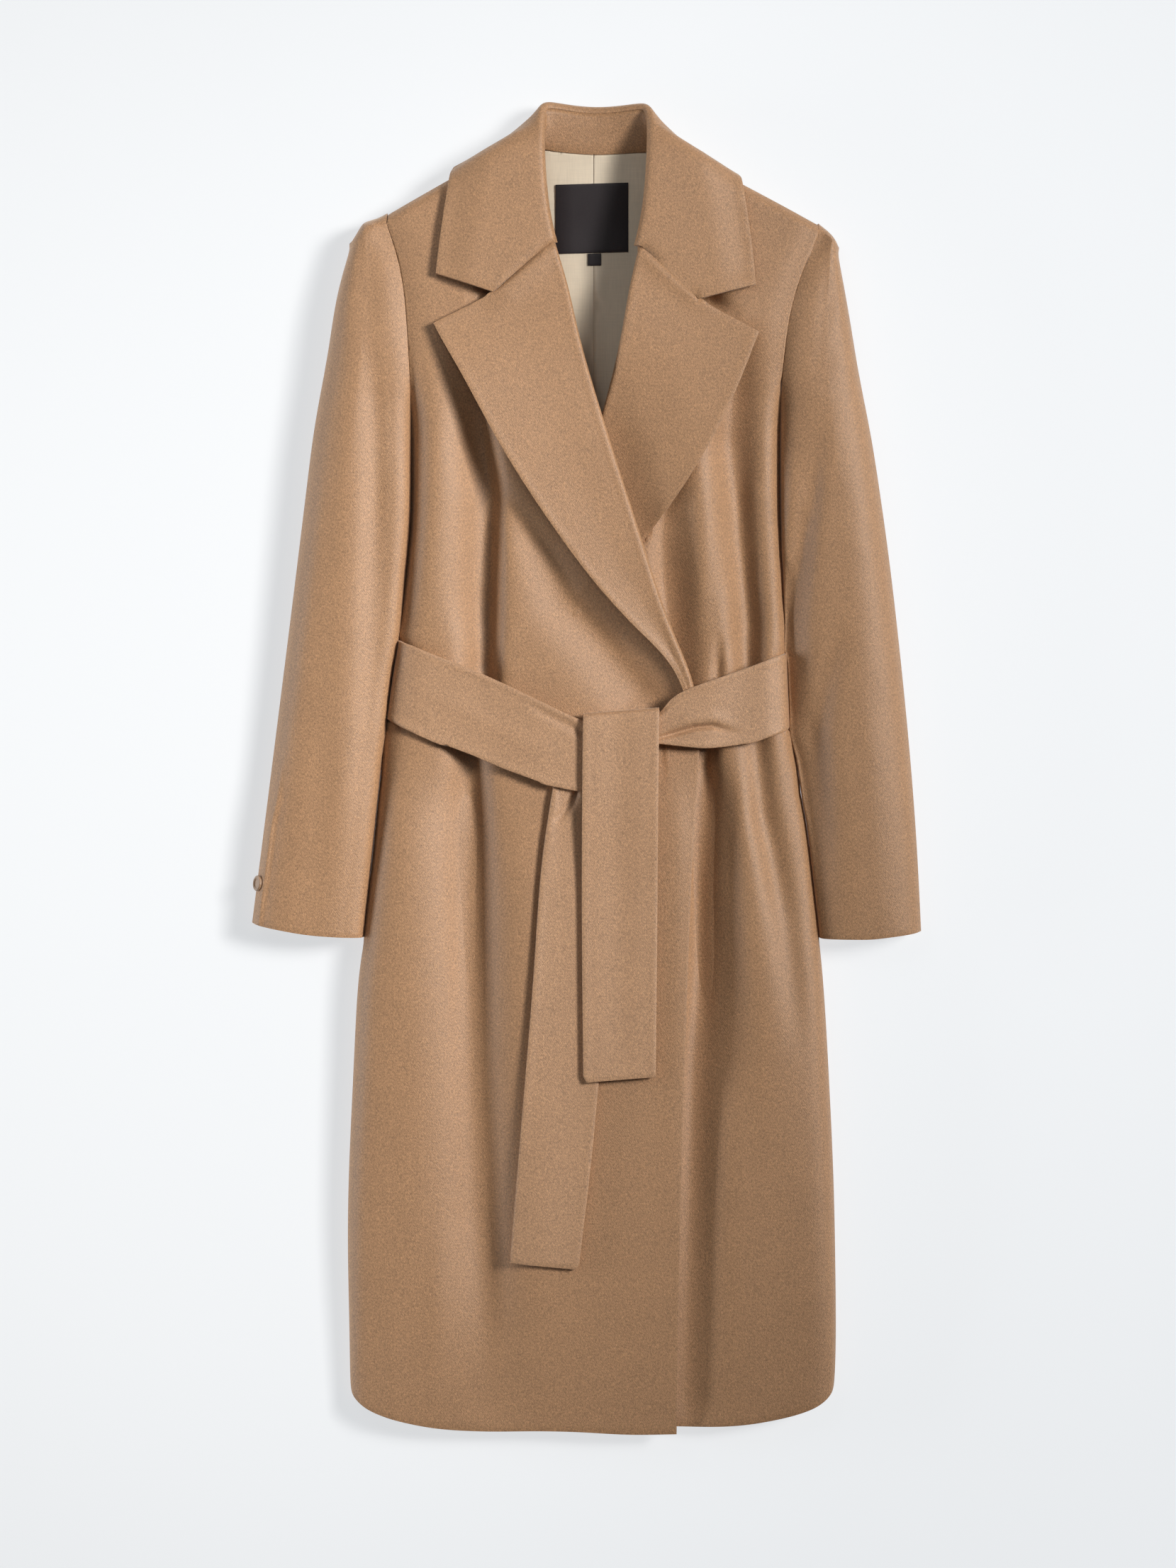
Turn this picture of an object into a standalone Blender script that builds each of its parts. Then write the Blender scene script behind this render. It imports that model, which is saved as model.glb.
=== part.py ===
"""Wool wrap coat with notched lapels and its own belt, tied once, laid on its back.

Lengths in the tables are millimetres; the meshes are in metres. +X runs to the wearer's left,
+Y from the hem to the collar and +Z up from the surface that the back lies on. Every piece of cloth
is a wall through a curved skin: skin(p, q) gives a point of the outer face, p across and q along.
"""

import math

import bpy
import numpy as np

MM = 0.001
CENTRE = np.array([-1.82, 0.19, 0.0])  # middle of the coat's box in the tables' frame

# Walls
WOOL = 2.6  # one panel of coating
LAPEL = 2.8  # front and facing pressed together
COLLAR = 3.2
BELT = 4.0
LINING = 1.0
LABEL = 0.9

# Gaps
SEAM = 0.4  # between two pieces at a seam
LIE = 1.3  # between a panel and what lies on it

# Levels of the laid coat
MIDDLE_X = 6.5  # the centre line
SEAM_SHARE = 0.42  # height of the side seams, as a share of the coat's height there
SIDE_ROLL = 22.0  # how far in from the side seam the front turns over
BACK_ROLL = 19.0
LAPEL_ROLL = 3.8  # radius of the lapel's visible face round its roll
COLLAR_TURN = 4.0
MOST_ROLL = 0.42  # a roll takes up at most this share of the width
SHOULDER_ROLL = 14.0
NECK_RISE = 2.0
COLLAR_DIP = 5.0
SHOULDER_SEAM = math.radians(35)  # the shoulder seam lies this far round to the front
UNDERARM_Y = 290.0
RIGHT_SHOULDER_Y = 481.0  # each armhole's top, before the shoulder rolls over
LEFT_SHOULDER_Y = 472.0
ARMHOLE_DIP = 3.0
UNDERARM_ROW = 9
SHOULDER_ROW = 12
SEAM_ROW = 13


class Table:
    """Rows of numbers under named columns, with a smooth curve through each column."""

    def __init__(self, columns, rows):
        self.columns = dict(zip(columns.split(), np.array(rows, float).T))
        self.keys = self.columns[columns.split()[0]]

    def at(self, column, key):
        keys, values = self.keys, self.columns[column]
        step = np.diff(keys)
        slope = np.diff(values) / step
        bend = np.concatenate(
            [slope[:1], (step[1:] * slope[:-1] + step[:-1] * slope[1:]) / (step[1:] + step[:-1]), slope[-1:]]
        )
        key = np.asarray(key, float)
        row = np.clip(np.searchsorted(keys, key, side="right") - 1, 0, len(step) - 1)
        t = (key - keys[row]) / step[row]
        inside = np.clip(t, 0, 1)
        curve = (
            values[row] * (1 + 2 * inside) * (1 - inside) ** 2
            + values[row + 1] * (3 - 2 * inside) * inside**2
            + step[row] * (bend[row] * inside * (1 - inside) ** 2 - bend[row + 1] * (1 - inside) * inside**2)
        )
        return curve + (t - inside) * step[row] * np.where(t > 1, bend[row + 1], bend[row])

    def straight(self, column, key):
        """The same column along straight lines, carried on past both ends."""
        keys, values = self.keys, self.columns[column]
        before = values[0] + (key - keys[0]) * (values[1] - values[0]) / (keys[1] - keys[0])
        after = values[-1] + (key - keys[-1]) * (values[-1] - values[-2]) / (keys[-1] - keys[-2])
        inside = np.interp(key, keys, values)
        return np.where(key < keys[0], before, np.where(key > keys[-1], after, inside))


def ease(low, high, value):
    """0 below low, 1 above high, smooth between."""
    t = np.clip((value - low) / (high - low), 0, 1)
    return t * t * (3 - 2 * t)


def mix(a, b, share):
    return a + (b - a) * share


# ---------------------------------------------------------------- sizes

# Height of the front's skin over the surface, from hem to collar
CROWN = Table(
    "y height",
    [(-592, 25), (-450, 33), (-250, 37), (-60, 38), (60, 36), (160, 41), (300, 46), (420, 43), (487, 36), (560, 33)],
)

# Silhouettes of the two side seams and armholes
SIDE_RIGHT = Table(
    "y x",
    [(-552, -213), (-500, -213.2), (-430, -215), (-370, -214.4), (-290, -210.6), (-210, -206.8), (-170, -203.8),
     (-150, -199.5), (-80, -190), (10, -179.4),
     (44, -170.6), (78, -168.2), (115, -166.4), (140, -166), (215, -161), (290, -158.6), (360, -159.2),
     (430, -163.6), (455, -168.4), (481, -178)],
)
SIDE_LEFT = Table(
    "y x",
    [(-550, 220), (-510, 221.3), (-450, 220.6), (-370, 219.1), (-290, 215.4), (-210, 211), (-170, 208), (-145, 205),
     (-104, 200.2), (-14, 187),
     (33, 173.6), (70, 172), (105, 171.6), (140, 172), (215, 170.6), (290, 170), (360, 172), (415, 180.4),
     (445, 190.4), (472, 203.6)],
)

# Rows of the right front: height on the side seam, and place of the front edge, roll line and neck
FRONT_RIGHT = Table(
    "row side_y edge_x edge_y",
    [(0, -552, 78.4, -592), (1, -440, 80.6, -450), (2, -300, 83.8, -310), (3, -180, 88, -185), (4, -80, 92, -85),
     (5, 10, 98, 5), (6, 78, 95.3, 72.5), (6.5, 109, 83, 103), (7, 140, 70.2, 133), (8, 215, 47.8, 202),
     (9, UNDERARM_Y, 17.4, 296), (10, 353, -7, 378), (11, 416, -23.4, 440),
     (11.2, 429, -29.3, 461), (11.5, 449, -43, 492), (12, RIGHT_SHOULDER_Y, -56, 552)],
)
FRONT_LEFT = Table(
    "row side_y edge_x edge_y",
    [(0, -550, -72, -586), (1, -440, -73, -450), (2, -300, -75, -310), (3, -180, -78, -185), (4, -80, -82, -85),
     (5, 10, -86, 5), (6, 78, -80, 72), (7, 140, -57, 133), (8, 215, -28, 202), (9, UNDERARM_Y, 6, 296),
     (10, 351, 26.9, 376), (11, 412, 39.5, 440), (11.2, 424.5, 44.4, 461), (11.5, 443, 56, 489),
     (12, LEFT_SHOULDER_Y, 68, 546)],
)

# The back neck seam between the two neck points
NECKLINE = [(-44, 548.2), (-21, 546.4), (7, 544.3), (30, 545.4), (56, 548.2)]

# How far the hem hangs below a straight line from the side seam to the front edge, by share of the way
HEM = Table(
    "share drop",
    [(0, 0), (0.012, 8), (0.034, 13), (0.08, 18.8), (0.17, 22.6), (0.25, 24.2), (0.31, 23.8), (0.43, 20.5),
     (0.57, 14.4), (0.7, 10), (0.85, 6.5), (1, 0)],
)
BACK_HEM_DROP = 14.0
CUFF_DROP = 4.5

# Sleeves: height of the row on the inner side, inner silhouette below the underarm, outer silhouette
SLEEVE_RIGHT = Table(
    "row inner_y inner_x outer_x outer_y",
    [(4, -149.5, -200.4, -299.7, -137), (5, -69, -191.6, -289.4, -56), (6, 14, -183.2, -277.2, 41),
     (7, 119, -173.4, -262.3, 159), (8, 215, -164, -250.9, 251), (9, UNDERARM_Y, -159.2, -244.7, 299),
     (10, 353, -159.2, -236.6, 345), (11, 416, -159.2, -228.4, 388), (11.5, 449, -159.2, -223.3, 420),
     (12, RIGHT_SHOULDER_Y, -159.2, -211, 461)],
)
SLEEVE_LEFT = Table(
    "row inner_y inner_x outer_x outer_y",
    [(4, -150, 206.4, 296.5, -144.5), (5, -69, 199, 292.2, -60), (6, 14, 190.6, 284, 42),
     (7, 119, 180.4, 270.8, 165), (8, 215, 173, 259, 250), (9, UNDERARM_Y, 170.8, 251.6, 296),
     (10, 351, 170.8, 244, 335), (11, 412, 170.8, 236.8, 375), (11.5, 443, 170.8, 231.4, 410),
     (12, LEFT_SHOULDER_Y, 170.8, 222.6, 457)],
)
SLEEVE_HEIGHT = Table("y height", [(-152, 35), (0, 40), (150, 43), (300, 46), (420, 45), (474, 39)])
SLEEVE_ROLL = 33.0
UNDER_ROLL = 27.0

# Lapels: rows of the fronts' own tables, from the break point under the belt to the gorge, with the outer edge
LAPEL_RIGHT = Table(
    "row out_x out_y",
    [(5.65, 88, 50), (6, 84.5, 70.3), (6.5, 68.4, 98.9), (7, 42.5, 123.3), (8, -10.2, 184), (9, -69.2, 270.5),
     (10, -110.8, 346.5), (11, -133.5, 387), (11.2, -137.2, 394.5)],
)
LAPEL_LEFT = Table(
    "row out_x out_y",
    [(6, -72, 79), (7, -28, 118), (8, 22, 168), (9, 75, 237), (10, 113, 298), (11, 143.5, 367), (11.2, 150.8, 387.1)],
)

COLLAR_STATIONS = np.array([0, 0.67, 1.33, 2, 2.5, 3, 3.2, 3.4, 3.55, 3.7, 3.85, 4, 4.15, 4.3, 4.6, 5, 5.5, 6])
NOTCH_SHARE = 0.5  # how far out the notch lies along the lapel's top
GORGE_GAP = 1.3
GORGE_ROWS = (10.0, 11.2)  # the lapel's rows turn to the gorge seam between these

# Collar, from the gorge (0) round to the centre back (6), as distances from the centre line: the neck seam, the
# fold's inner side, the middle of the fall (at row 0 the notch), and the outer edge. behind is 0 where the collar falls
# over the front and 1 where it falls behind the back; lean is how much lower the left side lies, per millimetre out
COLLAR_ROWS = Table(
    "row neck_d neck_y neck_z fold_d fold_y fold_z behind middle_d middle_y middle_z edge_d edge_y edge_z lean",
    [
        (0, 40.0, 463.0, 37.0, 36.8, 463.8, 41.0, 0, 91.2, 418.2, 47.6, 141.8, 433, 49.0, 0.035),
        (0.5, 44.0, 478, 36.0, 41.2, 480, 40.5, 0, 92.0, 450, 46.0, 140.2, 451, 47.0, 0.018),
        (1, 47.4, 493, 34.0, 44.3, 497, 40.0, 0, 92.0, 482, 44.5, 137.5, 472, 45.0, 0.012),
        (2, 56.0, 530, 30.0, 47.3, 531, 38.5, 0, 92.0, 519, 42.0, 132.8, 503, 42.0, 0.012),
        (3, 60.5, 560, 24.0, 48.4, 556, 35.0, 0.1, 92.0, 542, 40.0, 128.2, 524, 35.0, 0.015),
        (3.4, 59.0, 563, 18.0, 48.5, 566, 31.5, 0.35, 88.0, 550, 33.0, 125.5, 529, 25.0, 0.022),
        (3.7, 56.0, 560, 14.5, 48.4, 572, 29.0, 0.55, 87.0, 550, 22.0, 123.5, 530.5, 15.0, 0.03),
        (4, 50.0, 552.8, 11.5, 48.0, 577, 26.5, 0.75, 86.0, 550, 13.0, 121.0, 529, 8.0, 0.03),
        (4.3, 45.5, 551.5, 10.2, 47.0, 580.5, 24.0, 0.88, 81.0, 549, 5.0, 115.0, 524, 3.2, 0.025),
        (4.6, 40.0, 550.6, 9.6, 45.5, 583.5, 21.5, 0.96, 71.0, 553, 3.5, 100.0, 517, 3.2, 0.02),
        (5, 33.0, 549.9, 9.2, 42.0, 585.5, 18.5, 1, 55.0, 566, 0.0, 82.0, 515, 0.0, 0.012),
        (5.5, 18.0, 548.4, 9.0, 25.0, 583.2, 14.0, 1, 33.0, 566, 0.0, 44.0, 515, 0.0, 0.012),
        (6, 0.0, 547.2, 9.0, 0.0, 580.9, 11.0, 1, 0.0, 565, 0.0, 0.0, 515, 0.0, 0.012),
    ],
)

# Belt: stations from the side seam to the knot, with its lower and upper edge
BELT_RIGHT = Table(
    "station low_x low_y high_x high_y",
    [(0, -176.6, 44, -171.8, 115), (1, -144, 27.2, -140, 102), (2, -105.6, 13, -100, 86.5), (3, -56.8, -7.8, -52, 64.4),
     (4, -6.2, -20.7, -6.8, 43), (5, 24, -14, 24, 36)],
)
BELT_LEFT = Table(
    "station low_x low_y high_x high_y",
    [(0, 179.6, 34, 176.8, 103), (1, 150, 24.0, 150, 92.6), (2, 109, 18.0, 118, 80.8), (3, 84, 19.5, 84.5, 68.8),
     (3.6, 71, 21, 71, 60), (4, 63, 22, 63, 48.5), (5, 34, 22, 34, 42)],
)
BELT_LIFTS = {-1: (2.2, 3.3), 1: (1.2, 2.3)}  # stations between which each side rises to the knot
STRIP_START = 0.72  # station where the belt has turned over the side
BELT_CREASE = Table("x y", [(63, 27.4), (93, 36.0), (112, 37.0), (128, 33.5)])
TAIL_FRONT = Table(
    "station left_x left_y right_x right_y",
    [(0, -4.8, 49.7, 62.6, 54.9), (1, -5.5, -20, 61.8, -16), (2, -5.9, -130, 61.0, -128), (3, -4.5, -278, 59.6, -273)],
)
TAIL_BEHIND = Table(
    "station left_x left_y right_x right_y",
    [(0, -30, -8, -7.5, -17.5), (1, -34.5, -35, 6, -38), (2, -42, -90, 17, -92), (3, -49, -190, 15, -194),
     (4, -60, -320, 5, -325), (5, -70, -438.7, -8.7, -444.2)],
)
KNOT_LOW_Y = -14.0
KNOT_STACK = 4 * 0.5  # gaps inside the knot

# Lining where the neck shows it, and the labels on it
LINING_EDGE = Table("y right_x left_x", [(296, -6, 30), (380, -30, 50), (440, -42, 56), (500, -44, 56), (545, -44, 56)])
LINING_SEAM_X = 4.5
LINING_LOW_Y = 296.0
LABEL_MAIN = (-29.4, 35.6, 458.2, 519.6)  # left, right, low, high
LABEL_SIZE = (-0.6, 11.4, 446.8, 457.6)

# Sleeve button at the right cuff
BUTTON_AT = (0.22, 4.45)  # how far round the sleeve's outer side, and row of the sleeve
BUTTON = Table("ring radius height", [(0, 0, 2.0), (1, 3.8, 2.0), (2, 5.0, 2.9), (3, 6.4, 2.9), (4, 7, 2.2), (5, 7, 0.8)])
BUTTON_BACK = (5.6, 0.0)  # radius and height of its flat back
BUTTON_SIDES = 20
BUTTON_SEAT = -0.2  # height of its back over the sleeve's smooth skin, whose facets lie a little inside it

# The soft folds: the line that each runs along, its half width, its height (a trough is negative) and how
# far from each end it has faded
FOLDS = Table(
    "number x1 y1 x2 y2 width height fade1 fade2",
    [
        (1, -118, 20, -86, -545, 27, -11, 60, 150),  # skirt, beside the tails
        (2, -160, 10, -158, -600, 30, 4, 90, 1),  # ridge outside it
        (3, -58, -40, -50, -560, 24, 4, 80, 150),
        (4, 112, 15, 124, -330, 17, -10, 40, 150),  # beside the front edge
        (5, 143, 10, 176, -420, 20, 4, 50, 200),
        (6, 168, 20, 200, -190, 12, -6, 40, 110),
        (7, -104, 115, -96, 330, 20, -7, 30, 110),  # chest, under the lapels
        (8, -143, 115, -134, 330, 18, 3, 60, 110),
        (9, 109, 112, 112, 190, 9, -5, 20, 60),
        (10, 128, 112, 118, 290, 12, 4, 30, 120),
        (11, 153, 108, 150, 330, 13, -6, 20, 110),
    ],
)


def fold_relief(x, y):
    total = 0
    for x1, y1, x2, y2, width, height, fade1, fade2 in zip(*list(FOLDS.columns.values())[1:]):
        length = math.hypot(x2 - x1, y2 - y1)
        ux, uy = (x2 - x1) / length, (y2 - y1) / length
        along = (x - x1) * ux + (y - y1) * uy
        off = (x - x1) * uy - (y - y1) * ux
        reach = ease(0, fade1, along) * ease(0, fade2, length - along)
        total = total + height * reach * np.exp(-((off / width) ** 2))
    return total


def front_level(x, y):
    """Outer face of the right front, and of the left front where nothing covers it."""
    flat = 1 - 0.08 * ((x - MIDDLE_X) / 200) ** 2
    return CROWN.at("height", y) * flat + fold_relief(x, y)


def seam_level(y):
    """Height of the side seams and of the sleeve seams, on the silhouette."""
    return SEAM_SHARE * CROWN.at("height", y)


BELT_BACK_Y = (31.0, 116.0)  # the belt lies between these behind the waist
COLLAR_BACK_Y = 508.0  # the collar's edge under the back


def back_level(x, y):
    """Under face of the back: on the surface, but raised over the belt and over the collar's back."""
    low, high = BELT_BACK_Y
    belt = ease(low - 28, low - 3, y) * (1 - ease(high + 3, high + 28, y))
    collar = ease(COLLAR_BACK_Y - 34, COLLAR_BACK_Y - 4, y)
    return (BELT + SEAM) * belt + (COLLAR + SEAM + 0.4) * collar + 0 * x


# ---------------------------------------------------------------- skins


def turn_side(p, share, opened):
    """How far across (as a share of the row) and how high (0 to 1) a point of a rolled side lies, p from 0 to 1."""
    angle = p * math.pi / 2
    across = share * mix(1 - np.cos(angle), p, opened)
    return across, mix(np.sin(angle), 1.0, opened)


def skin_across(p, start, end, rolls, opened):
    """Place and rise along a row from start to end, rolled over rolls[0] mm at its start and rolls[1] at its end.

    p runs 0 to 1 round the first roll, 1 to 2 across and 2 to 3 round the second.
    """
    (x1, y1), (x2, y2) = start, end
    width = np.hypot(x2 - x1, y2 - y1)
    first, last = (np.minimum(roll / width, MOST_ROLL) for roll in rolls)
    near, near_rise = turn_side(p, first, opened[0])
    far, far_rise = turn_side(3 - p, last, opened[1])
    middle = mix(first, 1 - last, p - 1)
    share = np.where(p < 1, near, np.where(p > 2, 1 - far, middle))
    rise = np.where(p < 1, near_rise, np.where(p > 2, far_rise, 1.0))
    return mix(x1, x2, share), mix(y1, y2, share), rise, share * width, (1 - share) * width


def armhole_opened(y):
    """0 where the side is closed by its roll, 1 in the armhole, where panel and sleeve meet at full height."""
    return ease(UNDERARM_Y, UNDERARM_Y + 75, y)


def to_armhole(level, seam, y, off):
    """The level drawn to the armhole seam's height near the seam, off mm away from it."""
    near = ease(UNDERARM_Y - 25, UNDERARM_Y, y) * np.exp(-((off / 11) ** 2))
    return mix(level, seam, near)


def armhole_level(x, y):
    return front_level(x, y) - ARMHOLE_DIP


def shoulder_turn(row, start_angle, end_angle):
    """Angle of the shoulder's roll for rows past the shoulder row, and how far it carries the point up."""
    t = np.maximum(row - SHOULDER_ROW, 0)
    angle = mix(start_angle, end_angle, t)
    return angle, np.where(row > SHOULDER_ROW, np.cos(angle), 0.0)


def front_edge(rows, sign, row):
    """The panel's own edge: the front edge, or inside the roll where the lapel turns back."""
    inset = (LAPEL_ROLL + SEAM) * ease(5.28, 5.65, row) * (1 - ease(11.3, 11.6, row))
    return rows.at("edge_x", row) + sign * inset, rows.at("edge_y", row)


def front_skin(rows, side, sign, level, seam_gap):
    """Skin of a front. p runs from the side seam (0 to 1 round it) to the front edge or roll line (2)."""

    def skin(p, row):
        body_row = np.minimum(row, SHOULDER_ROW)
        side_y = rows.straight("side_y", body_row)
        side_x = side.at("x", side_y) - sign * SEAM / 2
        edge = front_edge(rows, sign, body_row)
        opened = armhole_opened(side_y)
        x, y, rise, off, _ = skin_across(p, (side_x, side_y), edge, (SIDE_ROLL, 0), (opened, 0))
        share = off / np.hypot(side_x - edge[0], side_y - edge[1])
        y = y - HEM.at("drop", share) * np.clip(1 - row, 0, 1) ** 2 - shoulder_dip(x) * ease(11.2, 12, row)
        top = to_armhole(level(x, y), armhole_level(x, y), side_y, off)
        middle = seam_level(side_y) + seam_gap
        z = mix(middle, top, rise)
        angle, out = shoulder_turn(row, math.pi / 2, SHOULDER_SEAM + seam_gap / SHOULDER_ROLL)
        z = np.where(row > SHOULDER_ROW, mix(seam_level(y), z, np.sin(angle)), z)
        return x, y + SHOULDER_ROLL * out, z

    return skin


def front_edge_x(y):
    """The right front's own edge and roll line, by height."""
    order = np.argsort(FRONT_RIGHT.columns["edge_y"])
    return np.interp(y, FRONT_RIGHT.columns["edge_y"][order], FRONT_RIGHT.columns["edge_x"][order])


def under_step(x, y):
    """How far the left front lies below the right one: under it, with its lapel between them above the waist."""
    step = mix(WOOL + LIE + 0.9, WOOL + LAPEL + 2 * LIE + 1.5, ease(35, 100, y))
    past = x - front_edge_x(y)
    fade = mix(45.0, 80.0, ease(35, 130, y))
    return step * (1 - ease(0, fade, past)) * (1 - ease(330, 400, y))


def right_front_level(x, y):
    return front_level(x, y)


def left_front_level(x, y):
    return front_level(x, y) - under_step(x, y)


def shoulder_dip(x):
    """The shoulder lies lower where the collar passes over it."""
    return COLLAR_DIP * np.exp(-(((np.abs(x - MIDDLE_X) - 106) / 13) ** 2))


def shoulder_line(x):
    """Height of the shoulder row on the back, and of the neck row between the two neck points."""
    right = FRONT_RIGHT.columns["edge_x"][-1], FRONT_RIGHT.columns["edge_y"][-1]
    left = FRONT_LEFT.columns["edge_x"][-1], FRONT_LEFT.columns["edge_y"][-1]
    points = [
        (SIDE_RIGHT.at("x", RIGHT_SHOULDER_Y), RIGHT_SHOULDER_Y),
        right,
        *NECKLINE,
        left,
        (SIDE_LEFT.at("x", LEFT_SHOULDER_Y), LEFT_SHOULDER_Y),
    ]
    xs, ys = np.array(points, float).T
    return np.interp(x, xs, ys) - shoulder_dip(x)


def neck_share(x):
    """1 on the shoulders and 0 in the middle of the back neck."""
    return 1 - ease(-57, -43, x) * (1 - ease(55, 69, x))


def back_skin(p, row):
    """p runs 0 to 1 round the right side, 1 to 2 across and 2 to 3 round the left side."""
    body_row = np.minimum(row, SHOULDER_ROW)
    right_y = FRONT_RIGHT.straight("side_y", body_row)
    left_y = FRONT_LEFT.straight("side_y", body_row)
    start = SIDE_RIGHT.at("x", right_y) + SEAM / 2, right_y
    end = SIDE_LEFT.at("x", left_y) - SEAM / 2, left_y
    opened = armhole_opened(right_y)
    x, y, rise, off, off_left = skin_across(p, start, end, (BACK_ROLL, BACK_ROLL), (opened, opened))
    ruled = mix(RIGHT_SHOULDER_Y, LEFT_SHOULDER_Y, (x - start[0]) / (end[0] - start[0]))
    y = y + (shoulder_line(x) - ruled) * ease(UNDERARM_Y, RIGHT_SHOULDER_Y, right_y)
    y = y - BACK_HEM_DROP * np.clip(1 - row, 0, 1) ** 2 * np.sin(np.clip(p / 3, 0, 1) * math.pi) ** 0.5
    z = mix(seam_level(right_y) - SEAM / 2, back_level(x, y), rise)
    share = neck_share(x)
    end_angle = mix(-math.pi / 2, SHOULDER_SEAM - SEAM / 2 / SHOULDER_ROLL, share)
    angle, out = shoulder_turn(row, -math.pi / 2, end_angle)
    middle = seam_level(y)
    lower = mix(middle, z, -np.sin(angle))
    top = to_armhole(front_level(x, y), armhole_level(x, y), right_y, np.minimum(off, off_left))
    upper = mix(middle, top, np.sin(angle))
    z = np.where(row > SHOULDER_ROW, np.where(angle < 0, lower, upper), z)
    neck = NECK_RISE * (1 - share) * np.maximum(row - SHOULDER_ROW, 0)
    return x, y + SHOULDER_ROLL * out + neck, z


def sleeve_skin(rows, side, sign, upper):
    """Skin of a sleeve's top or under piece. p runs 0 to 1 round the outer side and 2 to 3 round the inner side."""

    def skin(p, row):
        body_row = np.minimum(row, SHOULDER_ROW)
        inner_y = rows.straight("inner_y", body_row)
        seam_x = side.at("x", inner_y) + sign * SEAM / 2
        below = row < UNDERARM_ROW
        past = np.maximum(row - SHOULDER_ROW, 0)
        inner_x = np.where(below, rows.at("inner_x", body_row), seam_x + sign * (1.5 + past) * SEAM)
        outer = rows.at("outer_x", body_row), rows.at("outer_y", body_row)
        opened = armhole_opened(inner_y)
        roll = SLEEVE_ROLL if upper else UNDER_ROLL
        x, y, rise, off_outer, off = skin_across(p, outer, (inner_x, inner_y), (roll, roll), (0, opened))
        y = y - CUFF_DROP * np.clip(5 - row, 0, 1) ** 2 * np.sin(np.clip(p / 3, 0, 1) * math.pi)
        gap = SEAM * (1 + past)
        middle = seam_level(np.minimum(inner_y, y + 40)) + (gap if upper else -gap)
        if upper:
            level = to_armhole(SLEEVE_HEIGHT.at("height", y), armhole_level(x, y), inner_y, off)
        else:
            level = back_level(x, y)
        z = mix(middle, level, rise)
        reach = SHOULDER_ROLL * mix(0.5, 1.0, ease(0, 15, off_outer))
        angle, out = shoulder_turn(row, math.pi / 2, 0.0)
        z = np.where(row > SHOULDER_ROW, mix(middle, z, np.sin(angle)), z)
        return x, y + reach * out, z

    return skin


# ---------------------------------------------------------------- meshes


def material(name, colour, roughness, metallic=0.0):
    made = bpy.data.materials.new(name)
    made.use_nodes = True
    shader = made.node_tree.nodes["Principled BSDF"]
    shader.inputs["Base Color"].default_value = (*colour, 1)
    shader.inputs["Roughness"].default_value = roughness
    shader.inputs["Metallic"].default_value = metallic
    made.diffuse_color = (*colour, 1)
    return made


def points_of(skin, ps, qs):
    p, q = np.meshgrid(ps, qs, indexing="ij")
    return np.stack(np.broadcast_arrays(*skin(p, q)), axis=-1).astype(float)


def normals_of(skin, ps, qs, step=0.02):
    """Unit normals from differences taken both ways, so that two skins which meet at a seam agree on it."""
    ps, qs = np.asarray(ps, float), np.asarray(qs, float)

    def crossed(ps, qs):
        across = points_of(skin, ps + step, qs) - points_of(skin, ps - step, qs)
        along = points_of(skin, ps, qs + step) - points_of(skin, ps, qs - step)
        return np.cross(across, along)

    normal = crossed(ps, qs)
    lost = np.linalg.norm(normal, axis=-1, keepdims=True) < 1e-9
    if lost.any():  # a corner where two rolls meet: its normal is that of a point just inside
        middle_p, middle_q = ps.mean(), qs.mean()
        inside = crossed(ps + 4 * step * np.sign(middle_p - ps), qs + 4 * step * np.sign(middle_q - qs))
        normal = np.where(lost, inside, normal)
    return normal / np.linalg.norm(normal, axis=-1, keepdims=True)


def split_quads(index, points):
    """Two triangles for every quad of the grid, split along its shorter diagonal."""
    a, b, c, d = (corner.reshape(-1) for corner in (index[:-1, :-1], index[1:, :-1], index[1:, 1:], index[:-1, 1:]))
    across = np.linalg.norm(points[a] - points[c], axis=-1) < np.linalg.norm(points[b] - points[d], axis=-1)
    first = np.where(across, [a, b, c], [a, b, d]).T
    second = np.where(across, [a, c, d], [b, c, d]).T
    return np.concatenate([first, second])


def cloth(name, skin, ps, qs, thickness, finish, flip=False):
    """A closed wall between the skin and the same skin moved in by the thickness."""
    outer = points_of(skin, ps, qs)
    normal = normals_of(skin, ps, qs) * (-1 if flip else 1)
    inner = outer - thickness * normal
    rows, columns = outer.shape[:2]
    count = rows * columns
    index = np.arange(count).reshape(rows, columns)
    triangles = split_quads(index, outer.reshape(-1, 3))
    rim = np.concatenate([index[:-1, 0], index[-1, :-1], index[:0:-1, -1], index[0, :0:-1]])
    following = np.roll(rim, -1)
    border = np.concatenate(
        [np.stack([following, rim, rim + count], -1), np.stack([following, rim + count, following + count], -1)]
    )
    faces = np.concatenate([triangles, triangles[:, ::-1] + count, border])
    if flip:
        faces = faces[:, ::-1]
    return solid(name, np.concatenate([outer.reshape(-1, 3), inner.reshape(-1, 3)]), faces, finish)


def solid(name, points, faces, finish):
    mesh = bpy.data.meshes.new(name)
    mesh.from_pydata(((points - CENTRE) * MM).tolist(), [], faces.tolist())
    mesh.materials.append(finish)
    mesh.shade_smooth()
    mesh.set_sharp_from_angle(angle=math.radians(50))
    made = bpy.data.objects.new(name, mesh)
    bpy.context.scene.collection.objects.link(made)
    return made


def stations(*parts):
    """Values along a skin: each part is (start, end, steps), and a shared end is kept once."""
    values = [np.linspace(start, end, steps + 1) for start, end, steps in parts]
    return np.unique(np.round(np.concatenate(values), 6))


def clear_scene():
    for thing in list(bpy.data.objects):
        bpy.data.objects.remove(thing, do_unlink=True)


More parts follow.
